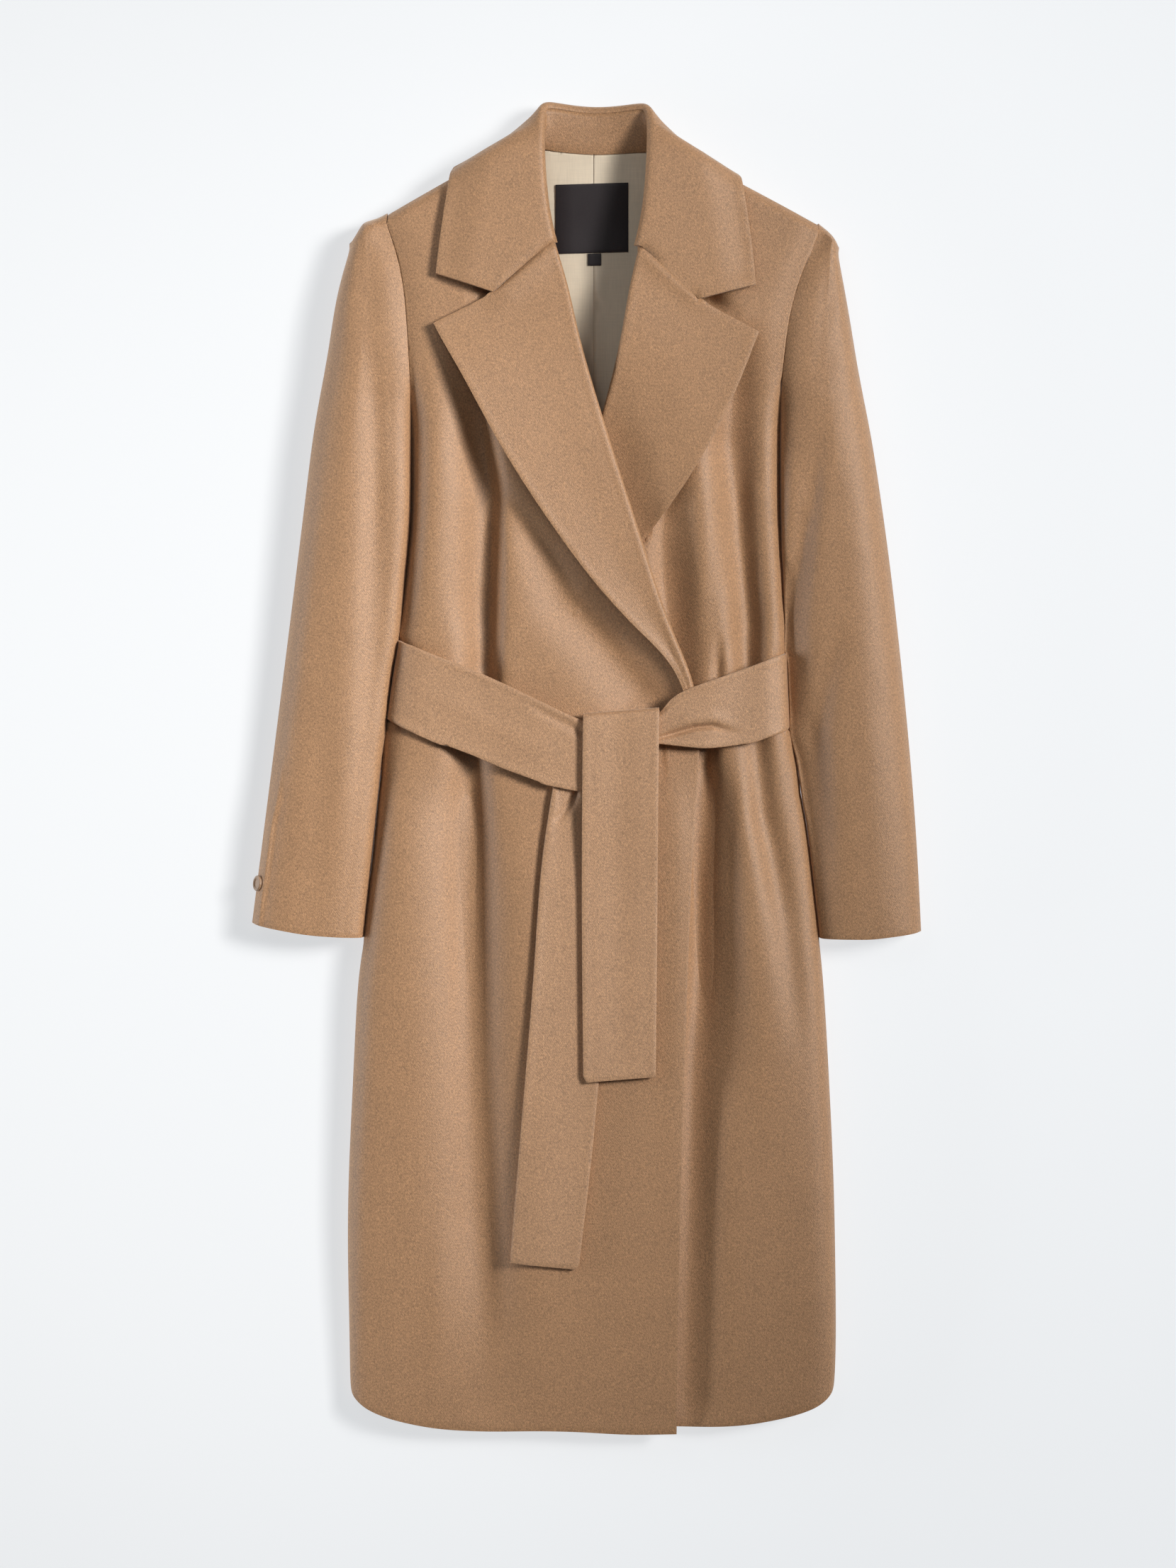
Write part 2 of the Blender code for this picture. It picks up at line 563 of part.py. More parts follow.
# Rows that the fronts and the back share, so that their side seams and armholes fit
BODY_ROWS = np.concatenate([[0, 0.4], stations((1, 5, 10)), [5.28, 5.65, 6, 6.35, 6.68, 7.1, 7.6], stations((8, 9, 2))])
ARMHOLE_ROWS = stations((9, 11.2, 5), (11.2, 12, 2), (12, 13, 3))
BODY_ROWS = np.concatenate([BODY_ROWS[:-1], ARMHOLE_ROWS])


# ---------------------------------------------------------------- lapels and collar


def smooth_level(x, y):
    """The fronts' height without their folds: what is stiffer than the panels lies on this."""
    return CROWN.at("height", y) * (1 - 0.08 * ((x - MIDDLE_X) / 200) ** 2)


def climbed(rows, column, row):
    """How far the column has gone from its value at the first gorge row to its value at the last."""
    low, top = (rows.at(column, end) for end in GORGE_ROWS)
    return (rows.at(column, row) - low) / (top - low)


def lapel_skin(rows, fronts, sign, under):
    """Visible face of a lapel. p runs 0 to 1 round the roll and 1 to 2 out to its edge; rows are the front's."""

    def skin(p, row):
        edge_x, edge_y = front_edge(fronts, sign, row)
        out_x, out_y = rows.at("out_x", row), rows.at("out_y", row)
        width = np.hypot(out_x - edge_x, out_y - edge_y)
        dx, dy = (out_x - edge_x) / width, (out_y - edge_y) / width
        gap = SEAM + GORGE_GAP * ease(*GORGE_ROWS, row)
        edge_x, edge_y = edge_x - dx * gap, edge_y - dy * gap
        radius = np.minimum(LAPEL_ROLL, 0.45 * width)
        angle = (np.minimum(p, 1) * 2 - 1) * math.pi / 2
        share = np.maximum(p - 1, 0)
        x = mix(edge_x, out_x, share) - dx * radius * np.cos(angle) * (p < 1)
        y = mix(edge_y, out_y, share) - dy * radius * np.cos(angle) * (p < 1)
        start, notch = (collar_point(name, 0, sign) for name in ("fold", "middle"))
        gorge = start[1] + (notch[1] - start[1]) * (x - start[0]) / (notch[0] - start[0])
        past = (share - NOTCH_SHARE) / (1 - NOTCH_SHARE)
        gorge = np.where(past < 0, gorge, mix(notch[1], rows.at("out_y", GORGE_ROWS[1]), past)) - 2 * SEAM
        low = GORGE_ROWS[0]
        climb = mix(climbed(fronts, "edge_y", row), climbed(rows, "out_y", row), share)
        held = mix(fronts.at("edge_y", low), rows.at("out_y", low), share) - dy * (radius * np.cos(angle) * (p < 1) + gap)
        y = np.where(row > low, mix(held, gorge, climb), y)
        level = smooth_level(x, y) - (under_step(x, y) if under else 0)
        lift = 2.5 * ease(0.55, 1, share) * (ease(8, 9.5, row) if under else ease(6, 7, row))
        lying = LAPEL + LIE + lift
        at_roll = 2 * LAPEL_ROLL - WOOL
        z = np.where(
            p < 1,
            level - WOOL + LAPEL_ROLL * (1 + np.sin(angle)),
            level + mix(at_roll, lying, ease(0, 0.35, share)),
        )
        return x, y, z

    return skin


def collar_place(row):
    """Rows 0 to 6 run along the right half and 6 to 12 back along the left one."""
    half = 6 - np.abs(6 - row)
    side = np.where(row <= 6, -1.0, 1.0)
    return half, side


def collar_point(name, half, side):
    x = MIDDLE_X + side * np.maximum(COLLAR_ROWS.at(name + "_d", half), 0)
    y = COLLAR_ROWS.at(name + "_y", half) - COLLAR_ROWS.straight("lean", half) * (x - MIDDLE_X)
    return np.stack(np.broadcast_arrays(x, y, COLLAR_ROWS.at(name + "_z", half)), -1)


def collar_skin(p, row):
    """Hidden face of the collar's fall. p runs 0 to 1 round its fold and 1 to 2 out to its edge."""
    half, side = collar_place(row)
    fold, middle, edge = (collar_point(name, half, side) for name in ("fold", "middle", "edge"))
    turned = COLLAR_ROWS.at("behind", half) * math.pi / 2
    nothing = 0 * turned
    up = np.stack([nothing, np.sin(turned), np.cos(turned)], -1)
    out = np.stack([side * np.cos(turned), nothing, -np.sin(turned)], -1)
    angle = (np.minimum(p, 1) * math.pi / 2)[..., None]
    turn = fold + COLLAR_TURN * (out * (1 - np.cos(angle)) + up * np.sin(angle))
    top = fold + COLLAR_TURN * (out + up)
    share = np.clip(p - 1, 0, 1.2)[..., None]
    pull = 2 * middle - (top + edge) / 2
    curve = (1 - share) ** 2 * top + 2 * share * (1 - share) * pull + share**2 * edge
    first, second = np.clip(2 * share, 0, 1), np.clip(2 * share - 1, 0, 1.2)
    straight = np.where(share < 0.5, mix(top, middle, first), mix(middle, edge, second))
    round_the_back = ease(2.2, 3.5, half)[..., None]
    point = np.where(p[..., None] < 1, turn, mix(straight, curve, round_the_back))
    return point[..., 0], point[..., 1], np.maximum(point[..., 2], COLLAR)


def stand_skin(p, row):
    """Outer face of the collar's stand, from the neck seam (0) to the fold (1)."""
    half, side = collar_place(row)
    neck, fold = collar_point("neck", half, side), collar_point("fold", half, side)
    point = neck + (fold - neck) * (0.01 + 0.9 * p)[..., None]
    return point[..., 0], point[..., 1], point[..., 2]


# ---------------------------------------------------------------- belt


def belt_skin(rows, sign):
    """p runs 0 to 1 round the side and 1 to 2 along to the knot, q from the lower to the upper edge."""

    def place(station, q):
        x = mix(rows.at("low_x", station), rows.at("high_x", station), q)
        return x, mix(rows.at("low_y", station), rows.at("high_y", station), q)

    def skin(p, q):
        side_x, side_y = place(0, q)
        turned_x, turned_y = place(STRIP_START, q)
        angle = np.minimum(p, 1) * math.pi / 2
        station = mix(STRIP_START, 5, np.maximum(p - 1, 0))
        x, y = place(station, q)
        x = np.where(p < 1, mix(side_x, turned_x, 1 - np.cos(angle)), x)
        y = np.where(p < 1, mix(side_y, turned_y, 1 - np.cos(angle)), y)
        top = smooth_level(x, y) + LIE + BELT + (BELT + SEAM) * ease(*BELT_LIFTS[sign], station)
        if sign > 0:
            crease = np.exp(-(((y - BELT_CREASE.at("y", x)) / 5) ** 2)) * ease(132, 112, x) * ease(62, 76, x)
            top = top - 2.0 * crease
        return x, y, mix(seam_level(side_y) + SEAM / 2, top, np.sin(angle))

    return skin


def belt_back_skin(p, q):
    """The belt under the back, p 0 to 1 round the right side, 1 to 2 across, 2 to 3 round the left side."""
    right_x = mix(BELT_RIGHT.at("low_x", 0), BELT_RIGHT.at("high_x", 0), q)
    right_y = mix(BELT_RIGHT.at("low_y", 0), BELT_RIGHT.at("high_y", 0), q)
    left_x = mix(BELT_LEFT.at("low_x", 0), BELT_LEFT.at("high_x", 0), q)
    left_y = mix(BELT_LEFT.at("low_y", 0), BELT_LEFT.at("high_y", 0), q)
    roll = BACK_ROLL + BELT
    x, y, rise, _, _ = skin_across(p, (right_x, right_y), (left_x, left_y), (roll, roll), (0, 0))
    return x, y, mix(seam_level(y) - SEAM / 2, 0.0, rise)


def tail_front_skin(p, q):
    """p across; q runs 0 to 1 over the top fold, then 1 to 4 down to the end."""
    station = np.clip(q - 1, 0, 3.2)
    x = mix(TAIL_FRONT.at("left_x", station), TAIL_FRONT.at("right_x", station), p)
    y = mix(TAIL_FRONT.at("left_y", station), TAIL_FRONT.at("right_y", station), p)
    radius = (3 * BELT + KNOT_STACK) / 2
    angle = (np.minimum(q, 1) * 2 - 1) * math.pi / 2
    y = y - radius * (1 - ease(0, 0.4, station)) + radius * np.cos(angle) * (q < 1)
    down = ease(1.05, 1.9, station)
    height = mix(LIE + 2 * radius, LIE + 2 * BELT + 1.2 - 2.0 * p, down)
    over = smooth_level(x, y)
    z = np.where(q < 1, over + LIE + radius * (1 + np.sin(angle)), over + height)
    return x, y, z


def tail_behind_skin(p, q):
    x = mix(TAIL_BEHIND.at("left_x", q), TAIL_BEHIND.at("right_x", q), p)
    y = mix(TAIL_BEHIND.at("left_y", q), TAIL_BEHIND.at("right_y", q), p)
    return x, y, tail_rest(x, y) + BELT


def tail_rest(x, y):
    """What the hanging tail lies on: the front, bridging its folds a little."""
    low = -5.0 * ease(-200, -330, y) * ease(-30, -75, x)
    return smooth_level(x, y) + np.maximum(fold_relief(x, y), low) + LIE


def knot_skin(p, q):
    """Under face of the cloth that the front tail comes from, between the fronts and the tied belt."""
    x = mix(-4.6, 62.2, p)
    high = mix(TAIL_FRONT.at("left_y", 0), TAIL_FRONT.at("right_y", 0), p) - (3 * BELT + KNOT_STACK) / 2 - SEAM
    y = mix(KNOT_LOW_Y, high, q)
    return x, y, smooth_level(x, y) + LIE


# ---------------------------------------------------------------- lining, labels and button


def inside_back(y):
    """Inner face of the back along its own rows, at the middle."""
    _, row_y, row_z = back_skin(np.full(len(BODY_ROWS), 1.5), BODY_ROWS)
    return np.interp(y, row_y, row_z) + WOOL


def lining_skin(outer, sign):
    def skin(p, q):
        x = mix(LINING_SEAM_X + sign * SEAM / 2, LINING_EDGE.at(outer, mix(LINING_LOW_Y, 545, q)), p)
        y = mix(LINING_LOW_Y, shoulder_line(x) + 0.6, q)
        return x, y, inside_back(y) + LIE + LINING

    return skin


def label_skin(box):
    left, right, low, high = box

    def skin(p, q):
        x, y = mix(left, right, p), mix(low, high, q)
        return x, y, inside_back(y) + LIE + LINING + SEAM + LABEL

    return skin


BACK_COLUMNS_X = [-120, -85, -58, -54, -50, -46, -42, -20, MIDDLE_X, 32, 54, 58, 62, 66, 70, 100, 140]


def fronts_and_back(wool):
    right = front_skin(FRONT_RIGHT, SIDE_RIGHT, -1, right_front_level, SEAM / 2)
    left = front_skin(FRONT_LEFT, SIDE_LEFT, 1, left_front_level, SEAM / 2)
    columns = stations((0, 1, 3), (1, 2, 15))
    cloth("front_right", right, columns, BODY_ROWS, WOOL, wool)
    cloth("front_left", left, columns, BODY_ROWS, WOOL, wool, flip=True)
    first = SIDE_RIGHT.at("x", RIGHT_SHOULDER_Y) + BACK_ROLL
    last = SIDE_LEFT.at("x", LEFT_SHOULDER_Y) - BACK_ROLL
    across = 1 + (np.array(BACK_COLUMNS_X) - first) / (last - first)
    columns = np.concatenate([stations((0, 1, 3)), across, stations((2, 3, 3))])
    cloth("back", back_skin, columns, BODY_ROWS, WOOL, wool, flip=True)


def sleeves(wool):
    rows = np.concatenate([stations((4, 9, 10))[:-1], ARMHOLE_ROWS])
    columns = stations((0, 1, 3), (1, 2, 3), (2, 3, 3))
    for hand, table, side, sign in (
        ("right", SLEEVE_RIGHT, SIDE_RIGHT, -1),
        ("left", SLEEVE_LEFT, SIDE_LEFT, 1),
    ):
        top = sleeve_skin(table, side, sign, True)
        under = sleeve_skin(table, side, sign, False)
        cloth("sleeve_top_" + hand, top, columns, rows, WOOL, wool, flip=sign > 0)
        cloth("sleeve_under_" + hand, under, columns, rows, WOOL, wool, flip=sign < 0)


def collar_and_lapels(wool):
    columns = stations((0, 1, 4), (1, 1 + NOTCH_SHARE, 3), (1 + NOTCH_SHARE, 2, 2))
    rows = BODY_ROWS[(BODY_ROWS > 5.6) & (BODY_ROWS < 11.3)]
    cloth("lapel_right", lapel_skin(LAPEL_RIGHT, FRONT_RIGHT, -1, False), columns, rows, LAPEL, wool, flip=True)
    cloth("lapel_left", lapel_skin(LAPEL_LEFT, FRONT_LEFT, 1, True), columns, rows[rows > 7], LAPEL, wool)
    rows = np.concatenate([COLLAR_STATIONS, (12 - COLLAR_STATIONS)[-2::-1]])
    cloth("collar_fall", collar_skin, stations((0, 1, 3), (1, 2, 6)), rows, COLLAR, wool)
    rows[[0, -1]] = 0.25, 11.75
    cloth("collar_stand", stand_skin, stations((0, 1, 2)), rows, WOOL, wool)


def belt(wool):
    along = stations((0, 1, 3), (1, 2, 12))
    across = stations((0, 1, 5))
    cloth("belt_right", belt_skin(BELT_RIGHT, -1), along, across, BELT, wool)
    cloth("belt_left", belt_skin(BELT_LEFT, 1), along, across, BELT, wool, flip=True)
    cloth("belt_back", belt_back_skin, stations((0, 1, 3), (1, 2, 4), (2, 3, 3)), stations((0, 1, 2)), BELT, wool, flip=True)
    cloth("belt_tail_front", tail_front_skin, stations((0, 1, 3)), stations((0, 1, 4), (1, 4, 10)), BELT, wool, flip=True)
    cloth("belt_tail_behind", tail_behind_skin, stations((0, 1, 3)), stations((0, 5, 14)), BELT, wool, flip=True)
    cloth("belt_knot", knot_skin, stations((0, 1, 3)), stations((0, 1, 3)), BELT, wool, flip=True)


def lining_and_labels(lining, label):
    rows = stations((0, 1, 14))
    cloth("lining_right", lining_skin("right_x", -1), stations((0, 1, 3)), rows, LINING, lining, flip=True)
    cloth("lining_left", lining_skin("left_x", 1), stations((0, 1, 3)), rows, LINING, lining)
    cloth("label_main", label_skin(LABEL_MAIN), stations((0, 1, 2)), stations((0, 1, 5)), LABEL, label)
    cloth("label_size", label_skin(LABEL_SIZE), stations((0, 1, 1)), stations((0, 1, 1)), LABEL, label)


def cuff_button(horn):
    """A dished disc with a rim, its back lying on the sleeve."""
    skin = sleeve_skin(SLEEVE_RIGHT, SIDE_RIGHT, -1, True)
    at, row = np.array([BUTTON_AT[0]]), np.array([BUTTON_AT[1]])
    place, normal = points_of(skin, at, row)[0, 0], normals_of(skin, at, row)[0, 0]
    along = np.cross(normal, [1.0, 0.0, 0.0])
    along /= np.linalg.norm(along)
    side = np.cross(along, normal)
    turn = np.arange(BUTTON_SIDES) * 2 * math.pi / BUTTON_SIDES
    circle = np.cos(turn)[:, None] * along + np.sin(turn)[:, None] * side
    rings = list(zip(BUTTON.columns["radius"], BUTTON.columns["height"]))[1:] + [BUTTON_BACK]
    base = place + normal * BUTTON_SEAT
    points = [base + normal * BUTTON.columns["height"][0]]
    for radius, height in rings:
        points.extend(base + radius * circle + normal * height)
    points.append(base + normal * BUTTON_BACK[1])
    faces = []
    for k in range(BUTTON_SIDES):
        following = (k + 1) % BUTTON_SIDES
        faces.append((0, 1 + following, 1 + k))
        for ring in range(len(rings) - 1):
            inner, outer = 1 + ring * BUTTON_SIDES, 1 + (ring + 1) * BUTTON_SIDES
            faces.append((inner + k, outer + following, outer + k))
            faces.append((inner + k, inner + following, outer + following))
        last = 1 + (len(rings) - 1) * BUTTON_SIDES
        faces.append((len(points) - 1, last + k, last + following))
    solid("cuff_button_right", np.array(points), np.array(faces), horn)


def build():
    clear_scene()
    wool = material("camel_wool", (0.44, 0.27, 0.14), 0.9)
    lining = material("cream_lining", (0.66, 0.55, 0.38), 0.6)
    label = material("label_cloth", (0.02, 0.013, 0.012), 0.6)
    horn = material("button_horn", (0.42, 0.27, 0.18), 0.35)
    fronts_and_back(wool)
    sleeves(wool)
    collar_and_lapels(wool)
    belt(wool)
    lining_and_labels(lining, label)
    cuff_button(horn)


build()
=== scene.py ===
"""Looks of the wool wrap coat, laid flat on its back on a white floor and seen from straight above.

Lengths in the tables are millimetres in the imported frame: +X to the wearer's left, +Y to the collar, +Z up.
"""

import math

import bmesh
import bpy
import numpy as np
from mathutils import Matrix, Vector
from mathutils.bvhtree import BVHTree
from mathutils.kdtree import KDTree


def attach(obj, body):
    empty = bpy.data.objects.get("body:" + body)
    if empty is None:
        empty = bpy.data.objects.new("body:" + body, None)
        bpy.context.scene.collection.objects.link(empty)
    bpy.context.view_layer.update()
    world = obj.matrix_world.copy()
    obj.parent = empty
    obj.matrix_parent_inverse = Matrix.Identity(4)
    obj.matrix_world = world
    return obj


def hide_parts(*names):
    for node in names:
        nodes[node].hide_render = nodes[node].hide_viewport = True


MM = 0.001
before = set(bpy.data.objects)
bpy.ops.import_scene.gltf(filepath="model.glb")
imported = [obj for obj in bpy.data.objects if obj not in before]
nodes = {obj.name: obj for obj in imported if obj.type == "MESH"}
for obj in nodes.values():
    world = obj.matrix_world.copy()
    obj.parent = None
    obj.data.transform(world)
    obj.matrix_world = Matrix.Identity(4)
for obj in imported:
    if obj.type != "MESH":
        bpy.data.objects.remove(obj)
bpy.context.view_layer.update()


def ease(low, high, value):
    """0 below low, 1 above high, smooth between."""
    t = np.clip((value - low) / (high - low), 0, 1)
    return t * t * (3 - 2 * t)


# ---------------------------------------------------------------- finishes

WAVE_PERIOD = 2 * math.pi / 20  # of Blender's wave texture at scale 1


class Finish:
    """A Principled material and short calls for the texture nodes that feed it."""

    def __init__(self, name, roughness=0.9):
        self.made = bpy.data.materials.new(name)
        self.made.use_nodes = True
        self.tree = self.made.node_tree
        self.shader = self.tree.nodes["Principled BSDF"]
        self.shader.inputs["Roughness"].default_value = roughness
        self.place = self.add("ShaderNodeTexCoord").outputs["Object"]

    def add(self, kind, **values):
        node = self.tree.nodes.new(kind)
        for key, value in values.items():
            setattr(node, key, value)
        return node

    def join(self, source, target):
        self.tree.links.new(source, target)

    def stretched(self, scale, turn=0.0):
        """The place in millimetres, turned round Z and stretched."""
        node = self.add("ShaderNodeMapping")
        self.join(self.place, node.inputs["Vector"])
        node.inputs["Scale"].default_value = [1000 * value for value in scale]
        node.inputs["Rotation"].default_value = (0, 0, turn)
        return node.outputs["Vector"]

    def noise(self, size, detail=2.0, scale=(1, 1, 1), turn=0.0):
        """Noise from 0 to 1 whose lumps are about size millimetres wide."""
        node = self.add("ShaderNodeTexNoise")
        self.join(self.stretched(scale, turn), node.inputs["Vector"])
        node.inputs["Scale"].default_value = 1 / size
        node.inputs["Detail"].default_value = detail
        return node.outputs["Fac"]

    def waves(self, size, turn, bend=0.6):
        """Straight lines size millimetres apart."""
        node = self.add("ShaderNodeTexWave")
        self.join(self.stretched((1, 1, 1), turn), node.inputs["Vector"])
        node.inputs["Scale"].default_value = WAVE_PERIOD / size
        node.inputs["Distortion"].default_value = bend
        node.inputs["Detail"].default_value = 1.5
        node.inputs["Detail Scale"].default_value = 1.5
        return node.outputs["Fac"]

    def math(self, operation, a, b):
        node = self.add("ShaderNodeMath", operation=operation)
        for socket, value in zip(node.inputs, (a, b)):
            if isinstance(value, (int, float)):
                socket.default_value = value
            else:
                self.join(value, socket)
        return node.outputs[0]

    def between(self, low, high, value):
        node = self.add("ShaderNodeMapRange")
        self.join(value, node.inputs["Value"])
        node.inputs["To Min"].default_value = low
        node.inputs["To Max"].default_value = high
        return node.outputs[0]

    def colour(self, base, shade):
        """The base colour times the shade."""
        node = self.add("ShaderNodeMix", data_type="RGBA", blend_type="MULTIPLY")
        node.inputs["Factor"].default_value = 1.0
        node.inputs["A"].default_value = (*base, 1)
        self.join(shade, node.inputs["B"])
        self.join(node.outputs["Result"], self.shader.inputs["Base Color"])

    def bump(self, height, distance, strength=1.0):
        node = self.add("ShaderNodeBump")
        self.join(height, node.inputs["Height"])
        node.inputs["Distance"].default_value = distance * MM
        node.inputs["Strength"].default_value = strength
        self.join(node.outputs["Normal"], self.shader.inputs["Normal"])

    def sheen(self, weight, roughness, tint):
        self.shader.inputs["Sheen Weight"].default_value = weight
        self.shader.inputs["Sheen Roughness"].default_value = roughness
        self.shader.inputs["Sheen Tint"].default_value = (*tint, 1)


def wool(name, base):
    """Felted coating: a short nap over a twill that barely shows, in a yarn of several shades."""
    made = Finish(name, 0.58)
    speckle = made.noise(1.5, 4.0)
    fibres = made.noise(0.8, 2.0, (1.0, 0.4, 1.0), math.radians(20))
    cloud = made.noise(34, 2.0)
    twill = made.waves(1.5, math.radians(-38), 2.2)
    shade = made.math("MULTIPLY", made.between(0.35, 1.65, speckle), made.between(0.6, 1.4, fibres))
    shade = made.math("MULTIPLY", shade, made.between(0.93, 1.07, cloud))
    shade = made.math("MULTIPLY", shade, made.between(0.97, 1.03, twill))
    made.colour(base, shade)
    height = made.math("ADD", speckle, made.math("MULTIPLY", fibres, 0.5))
    height = made.math("ADD", height, made.math("MULTIPLY", twill, 0.12))
    made.bump(height, 0.45, 0.6)
    made.sheen(0.35, 0.4, (1.0, 0.86, 0.72))
    made.shader.inputs["Specular IOR Level"].default_value = 0.7
    return made.made


def lining_cloth():
    """Fine woven lining with slubs along and across."""
    made = Finish("cream_lining", 0.55)
    along = made.noise(1.0, 2.0, (1.0, 0.05, 1.0))
    across = made.noise(1.2, 2.0, (0.06, 1.0, 1.0))
    soft = made.noise(18, 2.0, (1.0, 0.4, 1.0))
    shade = made.math("MULTIPLY", made.between(0.9, 1.08, along), made.between(0.93, 1.06, across))
    shade = made.math("MULTIPLY", shade, made.between(0.9, 1.08, soft))
    made.colour((0.78, 0.665, 0.51), shade)
    made.bump(made.math("ADD", along, across), 0.12, 0.5)
    made.sheen(0.15, 0.4, (1.0, 0.95, 0.85))
    return made.made


def label_satin():
    made = Finish("label_satin", 0.5)
    weave = made.waves(0.5, 0.0, 0.1)
    grain = made.noise(0.5, 2.0, (0.3, 1.0, 1.0))
    shade = made.math("MULTIPLY", made.between(0.7, 1.3, grain), made.between(0.85, 1.15, weave))
    made.colour((0.022, 0.016, 0.018), shade)
    made.bump(weave, 0.08, 0.5)
    made.sheen(0.08, 0.4, (0.9, 0.85, 0.85))
    made.shader.inputs["Specular IOR Level"].default_value = 0.3
    return made.made


def horn():
    made = Finish("button_horn", 0.3)
    made.colour((0.36, 0.22, 0.13), made.between(0.6, 1.4, made.noise(5, 3.0, (1.0, 0.3, 1.0))))
    made.shader.inputs["Coat Weight"].default_value = 0.4
    return made.made


CAMEL = wool("camel_wool", (0.413, 0.224, 0.109))
# Painted light: the belt is the same camel cloth as the coat, and this copy's base colour is painted lighter
# for the light that the belt catches on top
BELT_WOOL_PAINTED_LIGHTER = wool("belt_wool", (0.47, 0.266, 0.142))
LINING = lining_cloth()
LABEL = label_satin()
HORN = horn()

# ---------------------------------------------------------------- creases


class Crease:
    """One soft trough or ridge: a bent line with widths to its left and right and a height at each point.

    The height falls off as a bell on both sides, and the nearest stretch of the line decides.
    """

    def __init__(self, points):
        self.points = np.array(points, float)

    def at(self, x, y):
        best = np.full(x.shape, np.inf)
        total = np.zeros(x.shape)
        for (x1, y1, l1, r1, h1), (x2, y2, l2, r2, h2) in zip(self.points[:-1], self.points[1:]):
            dx, dy = x2 - x1, y2 - y1
            t = np.clip(((x - x1) * dx + (y - y1) * dy) / (dx * dx + dy * dy), 0, 1)
            off_x, off_y = x - (x1 + t * dx), y - (y1 + t * dy)
            width = np.where(off_x > 0, r1 + (r2 - r1) * t, l1 + (l2 - l1) * t)
            away = np.hypot(off_x, off_y)
            height = (h1 + (h2 - h1) * t) * np.exp(-((away / width) ** 2))
            near = away < best
            total = np.where(near, height, total)
            best = np.where(near, away, best)
        return total


def creases(*rows):
    """Sum of creases, as a function of x and y in millimetres."""
    made = [Crease(row) for row in rows]
    return lambda x, y: sum((one.at(x, y) for one in made), np.zeros(x.shape))


# Each crease is its line's points, as (x, y, width to the left, width to the right, height)
SKIRT_RIGHT = creases(
    [(-102, 34, 18, 12, -12), (-102, -42, 18, 14, -14), (-104, -105, 16, 19, -12), (-103, -168, 16, 19, -10),
     (-100, -262, 16, 18, -6), (-96, -330, 18, 19, -6), (-94, -400, 18, 20, -6.5), (-88, -460, 20, 22, -5),
     (-84, -520, 22, 24, -3.4), (-82, -600, 24, 26, -1.8)],
    [(-128, -400, 10, 13, 0), (-132, -470, 11, 14, 2), (-133, -540, 12, 16, 1.2), (-136, -600, 12, 16, 0.6)],
    [(-170, -440, 10, 10, 0), (-171, -520, 10, 10, 1.5), (-174, -600, 10, 10, 1.5)],
    [(78, 0, 10, 9, 0), (82, -60, 12, 9, 1.0), (80, -200, 12, 9, 1.0), (76, -400, 12, 9, 0.4)],
)
SKIRT_LEFT = creases(
    [(106, 34, 16, 9, -12), (106, -42, 16, 10, -18), (102, -105, 16, 13, -18), (101, -168, 16, 16, -17),
     (96, -262, 16, 23, -14), (94, -388, 16, 22, -10), (92, -514, 16, 24, -7), (92, -600, 16, 24, -5)],
    [(135, 0, 8, 12, 0), (136, -60, 9, 12, 2), (142, -150, 10, 16, 2), (150, -240, 12, 20, 0)],
    [(150, 34, 12, 11, -9), (157, -42, 12, 13, -12), (164, -73, 12, 13, -10), (170, -105, 12, 13, -9),
     (176, -136, 12, 13, -6), (184, -199, 12, 12, -3), (190, -260, 12, 12, 0)],
)
CHEST_RIGHT = creases(
    [(-90, 60, 18, 10, -16), (-89, 92, 18, 10, -20), (-88, 129, 20, 10, -20), (-87, 166, 20, 10, -17),
     (-86, 204, 20, 10, -17), (-86, 242, 20, 10, -17), (-93, 290, 22, 11, -17), (-100, 340, 24, 14, -7),
     (-98, 420, 24, 16, 0)],
    [(-95, 290, 8, 8, 0), (-67, 234, 14, 10, -5), (-37, 191, 22, 16, -8), (-17, 149, 26, 20, -11),
     (18, 110, 28, 22, -13), (49, 70, 30, 24, -13), (70, 48, 30, 24, -10)],
    # The hollow at the left notch
    [(-56, 440, 10, 10, 0), (-76, 425, 8, 8, -10), (-86, 421, 9, 8, -7), (-98, 418, 9, 8, -1.5),
     (-108, 416, 8, 8, 0)],
)
CHEST_LEFT = creases(
    [(142, 60, 12, 11, -12), (144, 92, 12, 12, -17), (143, 129, 16, 13, -19), (139, 166, 18, 13, -20),
     (135, 204, 18, 14, -20), (133, 242, 18, 14, -20), (129, 290, 18, 22, -19), (132, 330, 18, 24, -14),
     (134, 400, 18, 22, 0)],
    [(104, 70, 10, 10, 2), (104, 120, 11, 12, 3), (103, 166, 12, 12, 3), (102, 242, 10, 12, 2),
     (100, 290, 10, 12, 0)],
    [(117, 70, 5, 4, -3.5), (117, 92, 5, 4, -3.5), (118, 122, 5, 4, 0)],
    # The hollow at the right notch
    [(84, 436, 10, 10, 0), (98, 422, 10, 11, -16), (110, 414, 8, 11, -14), (124, 404, 8, 10, -4),
     (136, 396, 8, 10, 0)],
    [(80, 60, 10, 18, -8), (75, 100, 10, 18, -10), (74, 129, 10, 18, -10), (70, 166, 10, 20, -9),
     (70, 204, 10, 18, -6), (73, 250, 10, 14, -5), (82, 300, 10, 12, 0)],
)
